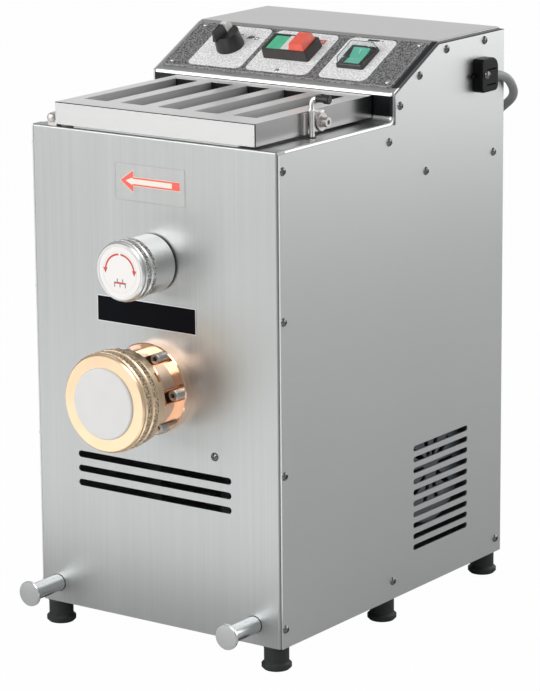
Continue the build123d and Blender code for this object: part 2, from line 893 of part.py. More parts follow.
def gear_outline(teeth, phase):
    """The corners of a spur gear seen square on; phase is the angle of one tooth's middle, in degrees."""
    pitch_radius = gear_module * teeth / 2
    base_radius = pitch_radius * math.cos(pressure_angle)
    root_radius = pitch_radius - 1.25 * gear_module
    tip_radius = pitch_radius + 0.95 * gear_module
    half_tooth = math.pi / 2 / teeth * (1 - gear_backlash)
    upper_radius = (pitch_radius + tip_radius) / 2
    start_radius = max(root_radius, base_radius) + 0.05
    flank = []
    for radius in (root_radius, start_radius, pitch_radius, upper_radius, tip_radius):
        touching = math.acos(min(1.0, base_radius / radius))
        flank.append((radius, half_tooth + involute(pressure_angle) - involute(touching)))
    points = []
    for tooth in range(teeth):
        centre = math.radians(phase) + 2 * math.pi * tooth / teeth
        for side, run in ((-1, flank), (1, flank[::-1])):
            for radius, half in run:
                angle = centre + side * half
                points.append((radius * math.cos(angle), radius * math.sin(angle)))
    return points


def gear_blank(x, z, teeth, phase, bore):
    """Cuts one spur gear with its hub into the part under construction."""
    with BuildSketch(facing_front(x, front + gear_front, z)) as gear_profile:
        with BuildLine():
            Polyline(*gear_outline(teeth, phase), close=True)
        make_face()
        Circle(bore, mode=Mode.SUBTRACT)
    extrude(gear_profile.sketch, amount=-gear_face)


auger_centre = (middle, base + die_level)
auger_pitch_radius = gear_module * auger_teeth / 2
pinion_pitch_radius = gear_module * pinion_teeth / 2
pinion_reach = auger_pitch_radius + pinion_pitch_radius
pinion_drop = math.sqrt(pinion_reach**2 - pinion_offset**2)
pinion_centre = (middle - pinion_offset, base + die_level - pinion_drop)


def meshing_phase(teeth, direction, driver_teeth):
    """The phase that puts a gap of this gear on a driver's tooth; the driver has phase 0."""
    driver_step = 360 / driver_teeth
    ahead = round(direction / driver_step) * driver_step - direction
    gap = direction + 180 - ahead * driver_teeth / teeth
    return gap + 180 / teeth


paddle_phase = meshing_phase(paddle_teeth, 90, auger_teeth)
pinion_direction = math.degrees(math.atan2(-pinion_drop, -pinion_offset)) % 360
pinion_phase = meshing_phase(pinion_teeth, pinion_direction, auger_teeth)

with BuildPart() as auger_gear:
    gear_blank(*auger_centre, auger_teeth, 0, shaft_radius)
    with BuildSketch(facing_front(middle, front + gear_back, base + die_level)):
        Circle(20)
        Circle(shaft_radius, mode=Mode.SUBTRACT)
    extrude(amount=-2)
save(auger_gear, "auger_gear")

with BuildPart() as paddle_gear:
    gear_blank(middle, paddle_level_z, paddle_teeth, paddle_phase, shaft_radius)
    with BuildSketch(facing_front(middle, front + gear_front, paddle_level_z)):
        with PolarLocations(38, 6):
            Circle(11)
    extrude(amount=-gear_face, mode=Mode.SUBTRACT)
    with BuildSketch(facing_front(middle, front + gear_back, paddle_level_z)):
        Circle(20)
        Circle(shaft_radius, mode=Mode.SUBTRACT)
    extrude(amount=-2)
save(paddle_gear, "paddle_gear")

# ------------------------------------------------------------ worm gearbox, motor, fan and cowl
worm_y = front + depth - side_vent_from_back
worm_z = pinion_centre[1] - worm_distance
gearbox_front = worm_y - gearbox_depth / 2
with BuildPart() as drive_pinion:
    gear_blank(*pinion_centre, pinion_teeth, pinion_phase, pinion_shaft_radius)
    with BuildSketch(facing_front(pinion_centre[0], front + gear_front - 2, pinion_centre[1])):
        Circle(pinion_shaft_radius)
    extrude(amount=-(gearbox_front - front - gear_front + 2 + 20))
save(drive_pinion, "drive_pinion")

motor_left = pinion_centre[0] + worm_case_overhang
cowl_right = right - sheet - cowl_side_gap
cowl_left = cowl_right - fan_cowl_length
along_x = Plane(origin=(pinion_centre[0], worm_y, worm_z), x_dir=(1, 0, 0), z_dir=(0, -1, 0))
with BuildPart() as gearbox_housing:
    with BuildSketch(facing_front(pinion_centre[0], gearbox_front, pinion_centre[1])):
        Circle(gearbox_radius)
    extrude(amount=-gearbox_depth)
    chamfer(gearbox_housing.faces().filter_by(Axis.Y).edges(), 2)
    turn(
        along_x,
        [
            (-worm_case_overhang + 6, 0),
            (-worm_case_overhang + 6, worm_case_radius - 4),
            (-worm_case_overhang + 10, worm_case_radius),
            (worm_case_overhang - 8, worm_case_radius),
            (worm_case_overhang - 8, motor_radius - 8),
            (worm_case_overhang, motor_radius - 8),
            (worm_case_overhang, 0),
        ],
    )
    with BuildSketch(facing_front(pinion_centre[0], gearbox_front + 4, pinion_centre[1])):
        Circle(20)
    extrude(amount=7)
    with BuildSketch(facing_front(pinion_centre[0], gearbox_front - 3, pinion_centre[1])):
        Circle(pinion_shaft_radius + running_gap)
    extrude(amount=-23.5, mode=Mode.SUBTRACT)
    with BuildSketch(Plane(origin=(pinion_centre[0], worm_y, base + base_sheet))):
        Rectangle(60, gearbox_depth - 6)
    extrude(amount=worm_z - worm_case_radius + 6 - base - base_sheet)
save(gearbox_housing, "gearbox_housing")

motor_end = cowl_left - motor_left
with BuildPart() as motor_housing:
    with BuildSketch(Plane(origin=(motor_left, worm_y, worm_z), x_dir=(0, 1, 0), z_dir=(1, 0, 0))):
        Circle(motor_radius - motor_fin_height)
        with PolarLocations(motor_radius - motor_fin_height, motor_fins):
            Rectangle(2 * motor_fin_height, 3)
    extrude(amount=motor_end)
    with BuildSketch(Plane(origin=(motor_left + motor_end / 2, worm_y, base + base_sheet))):
        Rectangle(motor_end - 20, 70)
    extrude(amount=worm_z - motor_radius + 10 - base - base_sheet)
    with BuildSketch(Plane(origin=(motor_left + motor_end / 2, worm_y, worm_z + motor_radius - 8))):
        RectangleRounded(min(56, motor_end - 20), 46, 5)
    extrude(amount=24)
save(motor_housing, "motor_housing")

fan_gap = 6.0
fan_hub = 12.0
with BuildPart() as motor_fan:
    hub_plane = Plane(origin=(cowl_left + fan_gap, worm_y, worm_z), x_dir=(0, 1, 0), z_dir=(1, 0, 0))
    with BuildSketch(hub_plane):
        Circle(fan_hub)
    extrude(amount=fan_cowl_length - 2 * fan_gap - 2)
    with BuildSketch(hub_plane):
        Circle(fan_radius)
    extrude(amount=1.5)
    with BuildSketch(hub_plane):
        with PolarLocations((fan_hub + fan_radius) / 2, fan_blades):
            Rectangle(fan_radius - fan_hub + 2, 2, rotation=18)
    extrude(amount=fan_cowl_length - 2 * fan_gap - 4)
save(motor_fan, "motor_fan")

with BuildPart() as fan_cowl:
    cowl_plane = Plane(origin=(cowl_left, worm_y, worm_z), x_dir=(0, 1, 0), z_dir=(1, 0, 0))
    with BuildSketch(cowl_plane):
        Circle(motor_radius)
    extrude(amount=fan_cowl_length)
    fillet(fan_cowl.faces().sort_by(Axis.X)[-1].edges(), 4)
    offset(amount=-fan_cowl_sheet, openings=fan_cowl.faces().sort_by(Axis.X)[0])
    with BuildSketch(cowl_plane.offset(fan_cowl_length)):
        with PolarLocations(24, 10):
            SlotOverall(26, 6)
    extrude(amount=-3 * fan_cowl_sheet, mode=Mode.SUBTRACT)
save(fan_cowl, "fan_cowl")

# ------------------------------------------------------------ capacitor and terminal block
with BuildPart() as run_capacitor:
    turn(
        Plane(origin=(right - 60, inner_back - 40, plate_bottom + 180), x_dir=(0, 0, 1), z_dir=(0, 1, 0)),
        [(0, 0), (0, 17), (2, 19), (76, 19), (78, 17), (78, 5), (84, 5), (84, 0)],
    )
    with BuildSketch(facing_front(right - 60, back - sheet, plate_bottom + 220)):
        Rectangle(44, 16)
    extrude(amount=30)
save(run_capacitor, "run_capacitor")

with BuildPart() as terminal_block:
    with BuildSketch(facing_front(left + 78, back - sheet, deck - 60)):
        Rectangle(72, 22)
    extrude(amount=18)
    with BuildSketch(facing_front(left + 78, back - sheet - 18, deck - 60)):
        with GridLocations(12, 11, 6, 2):
            Circle(3)
    extrude(amount=-8, mode=Mode.SUBTRACT)
save(terminal_block, "terminal_block")

# ------------------------------------------------------------ guard lid
lid_x = left + lid_left
lid_width = width - lid_left - lid_right
lid_front = front - lid_overhang
lid_length = riser_setback - lid_back_gap + lid_overhang
lid_bottom = deck + lid_gap
slot_span = lid_width - lid_border_left - lid_border_right
slot_width = (slot_span - (lid_slots - 1) * lid_bar) / lid_slots
slot_length = lid_length - lid_border_front - lid_border_back
slot_pitch = slot_width + lid_bar
hinge_x = lid_x - hinge_offset
hinge_z = deck + hinge_level
front_ear = front + hinge_inset + hinge_lug_length + free_gap
rear_ear = front + riser_setback - 22 - 2 * hinge_lug_length
with BuildPart() as lid_guard:
    with BuildSketch(Plane(origin=(lid_x, lid_front, lid_bottom))):
        Rectangle(lid_width, lid_length, align=Align.MIN)
        with Locations((lid_border_left + slot_span / 2, lid_border_front + slot_length / 2)):
            with GridLocations(slot_pitch, 0, lid_slots, 1):
                Rectangle(slot_width, slot_length, mode=Mode.SUBTRACT)
    extrude(amount=lid_height)
    offset(amount=-lid_sheet, openings=lid_guard.faces().sort_by(Axis.Z)[0])
    for y in (front_ear, rear_ear):
        with BuildSketch(facing_front(hinge_x, y, hinge_z)):
            Circle(hinge_lug_radius)
            Rectangle(hinge_offset + lid_sheet, hinge_lug_radius, align=(Align.MIN, Align.MIN))
            Circle(hinge_pin_radius + running_gap, mode=Mode.SUBTRACT)
        extrude(amount=-hinge_lug_length)
save(lid_guard, "lid_guard")

# ------------------------------------------------------------ hinge brackets and pin screws
front_lug = front + hinge_inset
rear_lug = rear_ear + hinge_lug_length + free_gap
with BuildPart() as hinge_brackets:
    for y in (front_lug, rear_lug):
        with BuildSketch(facing_front(hinge_x, y, hinge_z)):
            Circle(hinge_lug_radius)
            with Locations((0, -hinge_level)):
                Rectangle(2 * hinge_lug_radius, hinge_level, align=(Align.CENTER, Align.MIN))
            Circle(hinge_pin_radius, mode=Mode.SUBTRACT)
        extrude(amount=-hinge_lug_length)
save(hinge_brackets, "hinge_brackets")

pin_length = 2 * hinge_lug_length + free_gap + 1
hinge_screw_profile = [
    (-hinge_head, 0),
    (-hinge_head + 0.1, 0.4 * hinge_head_radius),
    (-hinge_head + 0.7, 0.7 * hinge_head_radius),
    (-hinge_head + 1.6, 0.9 * hinge_head_radius),
    (-hinge_head + 2.8, hinge_head_radius),
    (0, hinge_head_radius),
    (0, hinge_pin_radius),
    (pin_length, hinge_pin_radius),
    (pin_length, 0),
]
with BuildPart() as hinge_screws:
    turn(
        Plane(origin=(hinge_x, front_lug, hinge_z), x_dir=(0, 1, 0), z_dir=(1, 0, 0)),
        hinge_screw_profile,
    )
    turn(
        Plane(origin=(hinge_x, rear_lug + hinge_lug_length, hinge_z), x_dir=(0, -1, 0), z_dir=(1, 0, 0)),
        hinge_screw_profile,
    )
save(hinge_screws, "hinge_screws")

# ------------------------------------------------------------ catch stud and interlock block on the lid
lid_side = lid_x + lid_width
catch_plane = facing_front(lid_side, front + catch_setback, deck + catch_level)
disc_end = catch_spacer + catch_disc_thickness
with BuildPart() as catch_disc:
    turn(
        catch_plane,
        [
            (0, catch_bolt_radius),
            (0, 4.5),
            (catch_spacer, 4.5),
            (catch_spacer, catch_radius - 0.5),
            (catch_spacer + 0.5, catch_radius),
            (disc_end - 0.5, catch_radius),
            (disc_end, catch_radius - 0.5),
            (disc_end, catch_bolt_radius),
        ],
    )
save(catch_disc, "catch_disc")

with BuildPart() as catch_screw:
    turn(
        catch_plane,
        [
            (-lid_sheet - 4, 0),
            (-lid_sheet - 4, catch_bolt_radius),
            (disc_end, catch_bolt_radius),
            (disc_end, catch_head_radius + 0.8),
            (disc_end + catch_washer, catch_head_radius + 0.8),
            (disc_end + catch_washer, catch_head_radius),
            (disc_end + catch_washer + catch_head, catch_head_radius),
            (disc_end + catch_washer + catch_head, 2),
            (disc_end + catch_washer + catch_head - 2.5, 2),
            (disc_end + catch_washer + catch_head - 2.5, 0),
        ],
    )
save(catch_screw, "catch_screw")

with BuildPart() as interlock_block:
    with BuildSketch(Plane(origin=(lid_side, front + block_setback, lid_bottom + 0.5))):
        Rectangle(block_thickness, block_length, align=Align.MIN)
        with Locations((block_thickness, block_length / 2)):
            Rectangle(1.0, 1.6, mode=Mode.SUBTRACT)
    extrude(amount=lid_height - 1.5)
save(interlock_block, "interlock_block")

with BuildPart() as interlock_switch:
    with BuildSketch(Plane(origin=(lid_side - 6, front + block_setback + block_length / 2, deck - sheet))):
        Rectangle(11, 24)
    extrude(amount=-16)
save(interlock_switch, "interlock_switch")

# ------------------------------------------------------------ latch: rod, sleeve, cap and bushing
rod_x = lid_side + rod_offset
rod_y = front + rod_setback
rod_top = deck + rod_height
with BuildPart() as latch_rod:
    with BuildLine() as rod_line:
        FilletPolyline(
            (rod_x, rod_y, deck - rod_below),
            (rod_x, rod_y, rod_top),
            (rod_x + rod_arm - 1.5, rod_y, rod_top),
            radius=rod_bend,
        )
    with BuildSketch(Plane(origin=(rod_x, rod_y, deck - rod_below))):
        Circle(rod_radius)
    sweep()
    with BuildSketch(Plane(origin=(rod_x, rod_y, deck + rod_finger_level))):
        Rectangle(rod_finger_length, rod_finger_width, align=(Align.MIN, Align.CENTER))
        Circle(rod_radius + 1)
    extrude(amount=rod_finger_thickness)
    with BuildSketch(Plane(origin=(rod_x, rod_y, deck - rod_below))):
        Circle(bushing_radius - 0.5)
    extrude(amount=3)
save(latch_rod, "latch_rod")

arm_end = rod_x + rod_arm
arm_plane = Plane(origin=(arm_end, rod_y, rod_top), x_dir=(-1, 0, 0), z_dir=(0, 1, 0))
with BuildPart() as latch_sleeve:
    turn(arm_plane, ring(rod_radius, sleeve_radius, cap_length, cap_length + sleeve_length))
save(latch_sleeve, "latch_sleeve")

with BuildPart() as latch_cap:
    turn(
        arm_plane,
        [
            (0, 0),
            (0, cap_radius - 0.8),
            (0.8, cap_radius),
            (cap_length - 0.4, cap_radius),
            (cap_length, cap_radius - 0.4),
            (cap_length, rod_radius),
            (1.5, rod_radius),
            (1.5, 0),
        ],
    )
save(latch_cap, "latch_cap")

with BuildPart() as latch_bushing:
    turn(
        Plane(origin=(rod_x, rod_y, deck), x_dir=(0, 0, 1), z_dir=(0, 1, 0)),
        [
            (-sheet - 3, rod_radius + running_gap),
            (-sheet - 3, bushing_radius - 1),
            (0, bushing_radius - 1),
            (0, bushing_radius),
            (bushing_height, bushing_radius - 0.6),
            (bushing_height, rod_radius + running_gap),
        ],
    )
save(latch_bushing, "latch_bushing")

# ------------------------------------------------------------ control overlay and its screws
overlay_width = width - 2 * overlay_margin
overlay_middle = (overlay_low + overlay_high) / 2
overlay_depth = overlay_high - overlay_low
buttons_hole = (buttons_width - 6, buttons_depth - 3)
bezel_hole = (bezel_width - 2.5, bezel_depth - 2.5)
overlay_screw_side = overlay_margin + overlay_screw_inset
overlay_screw_places = [
    (x, up)
    for x in (overlay_screw_side, width / 2 - 1, width - overlay_screw_side)
    for up in (overlay_low + overlay_screw_inset, overlay_high - overlay_screw_top)
]
with BuildPart() as control_overlay:
    with BuildSketch(slope_face):
        with Locations((width / 2, overlay_middle)):
            RectangleRounded(overlay_width, overlay_depth, overlay_corner)
        with Locations((selector_from_left, selector_up)):
            Circle(selector_shaft_radius + 2, mode=Mode.SUBTRACT)
        with Locations((buttons_from_left, buttons_up)):
            Rectangle(*buttons_hole, mode=Mode.SUBTRACT)
        with Locations((width - rocker_from_right, rocker_up)):
            Rectangle(*bezel_hole, mode=Mode.SUBTRACT)
    extrude(amount=overlay_thickness)
    overlay_top = control_overlay.faces().sort_by(Axis(slope_face.origin, slope_normal))[-1]
    chamfer(overlay_top.outer_wire().edges(), 0.6)
save(control_overlay, "control_overlay")

with BuildPart() as overlay_screws:
    screws(slope_face.offset(overlay_thickness), overlay_screw_places, overlay_screw_radius, 1.0, 1.2, 1.0)
save(overlay_screws, "overlay_screws")

# ------------------------------------------------------------ selector switch, knob and pointer
selector_plane = on_slope(selector_from_left, selector_up)
knob_base = overlay_thickness + free_gap
with BuildPart() as selector_switch:
    with BuildSketch(selector_plane.offset(-sheet)):
        RectangleRounded(32, 32, 3)
    extrude(amount=-36)
    with BuildSketch(selector_plane.offset(-sheet)):
        Circle(selector_shaft_radius + 1.5)
    extrude(amount=sheet + 0.5)
    with BuildSketch(selector_plane):
        Circle(selector_shaft_radius)
    extrude(amount=knob_base + 5)
save(selector_switch, "selector_switch")

rim_plane = selector_plane.offset(knob_base + selector_height)
handle_half = selector_handle_width / 2
with BuildPart() as selector_knob:
    with BuildSketch(selector_plane.offset(knob_base)):
        Circle(selector_radius)
    extrude(amount=selector_height, taper=selector_taper)
    with BuildSketch(rim_plane.offset(-1)):
        with BuildLine():
            Polyline(
                (selector_handle_shift - handle_half, 1),
                (selector_handle_shift - 0.53 * handle_half, -selector_tip),
                (selector_handle_shift + 0.53 * handle_half, -selector_tip),
                (selector_handle_shift + handle_half, 1),
                close=True,
            )
        make_face()
    extrude(amount=selector_handle + 1, taper=selector_handle_taper)
    with BuildSketch(selector_plane.offset(knob_base)):
        Circle(selector_shaft_radius + running_gap)
    extrude(amount=5.2, mode=Mode.SUBTRACT)
save(selector_knob, "selector_knob")

insert_round = 0.8 * selector_handle
insert_bend = (selector_insert_reach - insert_round, selector_handle - insert_round)
insert_side = Plane(
    origin=rim_plane.from_local_coords((selector_handle_shift - selector_insert_width / 4, 0, 0)),
    x_dir=rim_plane.y_dir,
    z_dir=(1, 0, 0),
)
with BuildPart() as selector_pointer:
    with BuildSketch(insert_side):
        with BuildLine():
            Polyline(
                (selector_insert_reach, selector_handle - insert_round),
                (selector_insert_reach, 0),
                (1, 0),
                (1, selector_handle),
                (selector_insert_reach - insert_round, selector_handle),
            )
            CenterArc(insert_bend, insert_round, 0, 90)
        make_face()
    extrude(amount=selector_insert_width)
save(selector_pointer, "selector_pointer")

# ------------------------------------------------------------ start and stop buttons
buttons_plane = on_slope(buttons_from_left, buttons_up)
button_x = (button_width + button_gap) / 2
housing_top = overlay_thickness + buttons_height
with BuildPart() as start_stop_housing:
    with BuildSketch(buttons_plane.offset(overlay_thickness)):
        RectangleRounded(buttons_width, buttons_depth, 2)
    extrude(amount=buttons_height, taper=4)
    with BuildSketch(buttons_plane.offset(overlay_thickness)):
        with Locations((-button_x, 0), (button_x, 0)):
            Rectangle(button_width + 2 * free_gap, button_depth + 2 * free_gap)
    extrude(amount=buttons_height + 1, mode=Mode.SUBTRACT)
save(start_stop_housing, "start_stop_housing")

button_base = overlay_thickness + button_travel + 0.5
with BuildPart() as start_button:
    with BuildSketch(buttons_plane.offset(button_base)):
        with Locations((-button_x, 0)):
            Rectangle(button_width, button_depth)
    extrude(amount=housing_top - button_base - 0.4)
    chamfer(start_button.faces().sort_by(Axis(buttons_plane.origin, slope_normal))[-1].edges(), 0.5)
save(start_button, "start_button")

with BuildPart() as stop_button:
    with BuildSketch(buttons_plane.offset(button_base)):
        with Locations((button_x, 0)):
            Rectangle(button_width, button_depth)
    extrude(amount=housing_top - button_base)
    with BuildSketch(buttons_plane.offset(housing_top)):
        with Locations((button_x, 0)):
            Rectangle(button_width, button_depth)
    extrude(amount=stop_rise, taper=12)
save(stop_button, "stop_button")

with BuildPart() as contact_block:
    with BuildSketch(buttons_plane.offset(overlay_thickness)):
        Rectangle(buttons_width - 8, buttons_depth - 5)
    extrude(amount=-overlay_thickness - sheet - 1)
    with BuildSketch(buttons_plane.offset(-sheet)):
        Rectangle(buttons_width, buttons_depth)
    extrude(amount=-32)
save(contact_block, "contact_block")

# ------------------------------------------------------------ rocker switch with its splash cover
rocker_plane = on_slope(width - rocker_from_right, rocker_up)
bezel_top = overlay_thickness + bezel_height
rocker_body = 20.0
with BuildPart() as rocker_bezel:
    with BuildSketch(rocker_plane.offset(overlay_thickness)):
        RectangleRounded(bezel_width, bezel_depth, 2)
    extrude(amount=bezel_height, taper=10)
    with BuildSketch(rocker_plane.offset(overlay_thickness)):
        Rectangle(bezel_width - 3.5, bezel_depth - 3.5)
    extrude(amount=-overlay_thickness - rocker_body)
    with BuildSketch(rocker_plane.offset(bezel_top)):
        Rectangle(rocker_window_width, rocker_window_depth)
    extrude(amount=-bezel_top - 9, mode=Mode.SUBTRACT)
save(rocker_bezel, "rocker_bezel")

tilt = math.radians(rocker_tilt)
rocker_side = Plane(
    origin=rocker_plane.from_local_coords((-rocker_window_width / 2 + free_gap, 0, 0)),
    x_dir=rocker_plane.y_dir,
    z_dir=(1, 0, 0),
)


def tilted(y, z):
    """A point of the rocker's outline, tipped so that its lower end is pressed in."""
    return (y * math.cos(tilt) - z * math.sin(tilt), y * math.sin(tilt) + z * math.cos(tilt))


rocker_half = rocker_window_depth / 2 - 1.2
with BuildPart() as rocker:
    with BuildSketch(rocker_side):
        with BuildLine():
            Polyline(
                tilted(-rocker_half, -4),
                tilted(rocker_half, -4),
                tilted(rocker_half, 5.2),
                tilted(0, 3.2),
                tilted(-rocker_half, 5.2),
                close=True,
            )
        make_face()
    extrude(amount=rocker_window_width - 2 * free_gap)
save(rocker, "rocker")

with BuildPart() as rocker_cover:
    with BuildSketch(rocker_plane.offset(bezel_top)):
        RectangleRounded(bezel_width - 1.6, bezel_depth - 1.6, 3)
    extrude(amount=rocker_cover_height, taper=12)
    fillet(rocker_cover.faces().sort_by(Axis(rocker_plane.origin, slope_normal))[-1].edges(), 1.8)
    cover_under = rocker_cover.faces().sort_by(Axis(rocker_plane.origin, slope_normal))[0]
    offset(amount=-rocker_cover_wall, openings=cover_under)
save(rocker_cover, "rocker_cover")

# ------------------------------------------------------------ mains lead: gland, cord, coil and plug
gland_y = front + depth - gland_from_back - gland_length / 2
gland_end = gland_y + gland_length / 2
gland_face = gland_reach - screw_head
gland_plane = Plane(origin=(right, gland_y, base + gland_level), x_dir=(0, 1, 0), z_dir=(1, 0, 0))
cord_x = right + gland_face / 2
cord_level = base + gland_level - cord_drop
with BuildPart() as cord_gland:
    with BuildSketch(gland_plane):
        with BuildLine():
            FilletPolyline(
                (-gland_length / 2, -gland_height / 2),
                (gland_length / 2, -gland_height / 2),
                (gland_length / 2, gland_height / 2),
                (-gland_length / 2, gland_height / 2),
                radius=(5, 5, 9, 4),
                close=True,
            )
        make_face()
    extrude(amount=gland_face)
    fillet(cord_gland.faces().sort_by(Axis.X)[-1].edges(), 1.5)
    with BuildSketch(gland_plane.offset(gland_face)):
        with Locations((2, gland_height / 2 - 10)):
            SlotOverall(gland_length - 12, 1.2)
        with Locations((2, -gland_clamp_height / 2 - 1)):
            SlotOverall(gland_length - 12, 1.2)
    extrude(amount=-gland_step, mode=Mode.SUBTRACT)
    with BuildSketch(gland_plane.offset(gland_face)):
        with Locations((front + gland_screw_place[0] - gland_y, gland_screw_place[1] - gland_level)):
            Circle(screw_shank_radius)
    extrude(amount=-gland_reach, mode=Mode.SUBTRACT)
    peg_foot = (right + 3, gland_y - gland_length / 2 + 1, base + gland_level)
    turn(
        Plane(origin=peg_foot, x_dir=(0, -1, 0), z_dir=(1, 0, 0)),
        [
            (0, 0),
            (0, gland_peg_radius),
            (gland_peg - 0.6, gland_peg_radius),
            (gland_peg, gland_peg_radius - 0.6),
            (gland_peg, 0),
        ],
    )
save(cord_gland, "cord_gland")

coil_x = left + 95.0
coil_y = back + 80.15
coil_outer = coil_radius + coil_spacing
coil_inner = coil_radius - coil_spacing
coil_height = 2 * coil_spacing
cord_points = [
    (cord_x, gland_end, cord_level),
    (cord_x, gland_end + 11, cord_level - 2),
    (cord_x - 0.2, back - 1, cord_level - 7),
    (cord_x - 1, back + 8, cord_level - 14.5),
    (cord_x - 3, back + 14.5, cord_level - 22),
    (cord_x - 8, back + 19, cord_level - 28.5),
    (cord_x - 15, back + 21.5, cord_level - 34),
    (cord_x - 23.5, back + 22.5, cord_level - 40.5),
    (cord_x - 31, back + 23, cord_level - 52.5),
    (cord_x - 37.5, back + 23, cord_level - 72.5),
    (cord_x - 43.5, back + 22.5, cord_level - 106.5),
    (cord_x - 47.5, back + 22, cord_level - 158.5),
    (cord_x - 49.5, back + 22, cord_level - 228),
    (cord_x - 51.5, back + 23, cord_level - 295),
    (cord_x - 54, back + 24, cord_level - 354),
    (cord_x - 58, back + 24.5, cord_level - 396),
    (cord_x - 65, back + 25.5, cord_level - 426),
    (cord_x - 76, back + 27, cord_level - 447),
    (cord_x - 92, back + 29, cord_level - 460),
    (cord_x - 112, back + 30.8, cord_radius),
    (cord_x - 134, back + 31.9, cord_radius),
    (coil_x + 8, coil_y - coil_radius - coil_spacing / 2, cord_radius),
]


def bend_radii(points):
    """For each corner of a route, the largest arc that its two runs leave room for."""
    radii = []
    for before, corner, after in zip(points, points[1:], points[2:]):
        into = Vector(*corner) - Vector(*before)
        out = Vector(*after) - Vector(*corner)
        turn_angle = math.radians(into.get_angle(out))
        radii.append(0.45 * min(into.length, out.length) / math.tan(turn_angle / 2))
    return radii


cord_radii = bend_radii(cord_points)
print("cord bend radii:", [round(radius, 1) for radius in cord_radii])
with BuildPart() as power_cord:
    with BuildLine() as cord_line:
        FilletPolyline(*cord_points, radius=cord_radii)
    cord_wire = cord_line.wire()
    with BuildSketch(Plane(origin=cord_wire @ 0, z_dir=cord_wire % 0)):
        Circle(cord_radius)
    sweep()
tube_volume = math.pi * cord_radius**2 * cord_wire.length
print("cord tube length:", round(cord_wire.length, 1))
print("volume ratio:", round(power_cord.part.volume / tube_volume, 4))
save(power_cord, "power_cord")

with BuildPart() as cord_coil:
    coil_plane = Plane(origin=(coil_x, coil_y, 0), x_dir=(0, 0, 1), z_dir=(0, 1, 0))
    turn(coil_plane, ring(coil_inner, coil_outer, 0, coil_height))
save(cord_coil, "cord_coil")

plug_tail = (coil_x + 20, coil_y + coil_radius + coil_spacing / 2 + 1, plug_radius)
with BuildPart() as mains_plug:
    turn(
        Plane(origin=plug_tail, x_dir=(1, 0, 0), z_dir=(0, -1, 0)),
        [
            (0, 0),
            (0, cord_radius + 1.5),
            (10, 9),
            (24, plug_radius - 5),
            (plug_length - 14, plug_radius),
            (plug_length - 1, plug_radius),
            (plug_length, plug_radius - 1),
            (plug_length, 0),
        ],
    )
    pin_plane = Plane(origin=plug_tail, x_dir=(0, 1, 0), z_dir=(1, 0, 0)).offset(plug_length)
    with BuildSketch(pin_plane):
        with Locations((-9.5, 0), (9.5, 0)):
            Circle(plug_pin_radius)
    extrude(amount=plug_pin)
save(mains_plug, "mains_plug")
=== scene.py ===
import math

import bpy
from mathutils import Matrix, Vector


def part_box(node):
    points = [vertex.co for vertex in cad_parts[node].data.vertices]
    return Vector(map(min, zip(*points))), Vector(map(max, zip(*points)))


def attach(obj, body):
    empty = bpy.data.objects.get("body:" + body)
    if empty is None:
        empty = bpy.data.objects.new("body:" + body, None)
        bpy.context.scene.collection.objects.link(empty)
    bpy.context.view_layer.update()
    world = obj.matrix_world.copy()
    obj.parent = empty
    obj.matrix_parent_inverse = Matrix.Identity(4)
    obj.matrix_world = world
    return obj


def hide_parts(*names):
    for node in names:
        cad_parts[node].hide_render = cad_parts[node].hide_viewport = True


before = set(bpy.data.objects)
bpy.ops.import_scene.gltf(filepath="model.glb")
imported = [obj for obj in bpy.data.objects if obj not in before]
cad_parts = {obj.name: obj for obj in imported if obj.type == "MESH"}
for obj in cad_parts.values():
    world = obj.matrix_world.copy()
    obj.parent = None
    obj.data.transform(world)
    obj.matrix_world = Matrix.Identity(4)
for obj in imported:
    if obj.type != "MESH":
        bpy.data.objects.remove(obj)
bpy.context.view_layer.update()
bpy.ops.object.select_all(action="DESELECT")

# ---- Studio ----------------------------------------------------------------------------------------------
# The machine stands on white paper in a plain white room. A long lens sees it from the right of its front, a
# little above it. A large soft box lights the front from the left and a smaller one fills from the right. Two
# cards stand behind the machine and two lie before it, out of sight, to be mirrored in its steel.
lens = 176.3
view_azimuth = math.radians(35.5)
view_elevation = math.radians(13.6)
view_roll = math.radians(-0.48)
view_distance = 3.01
view_middle = Vector((-0.005, 0.0352, 0.261))
view_across = -0.0035
view_down = -0.0273

sideways = Vector((math.cos(view_azimuth), math.sin(view_azimuth), 0))
backwards = Vector(
    (
        math.sin(view_azimuth) * math.cos(view_elevation),
        -math.cos(view_azimuth) * math.cos(view_elevation),
        math.sin(view_elevation),
    )
)
upwards = backwards.cross(sideways)
rolled_right = math.cos(view_roll) * sideways + math.sin(view_roll) * upwards
rolled_up = math.cos(view_roll) * upwards - math.sin(view_roll) * sideways
eye = view_middle + view_across * rolled_right + view_down * rolled_up + view_distance * backwards
camera_data = bpy.data.cameras.new("camera")
camera_data.lens = lens
camera_data.clip_end = 50
camera = bpy.data.objects.new("camera", camera_data)
bpy.context.scene.collection.objects.link(camera)
view_axes = Matrix((rolled_right, rolled_up, backwards)).transposed().to_4x4()
camera.matrix_world = Matrix.Translation(eye) @ view_axes
bpy.context.scene.camera = camera
bpy.context.scene.view_settings.view_transform = "Standard"


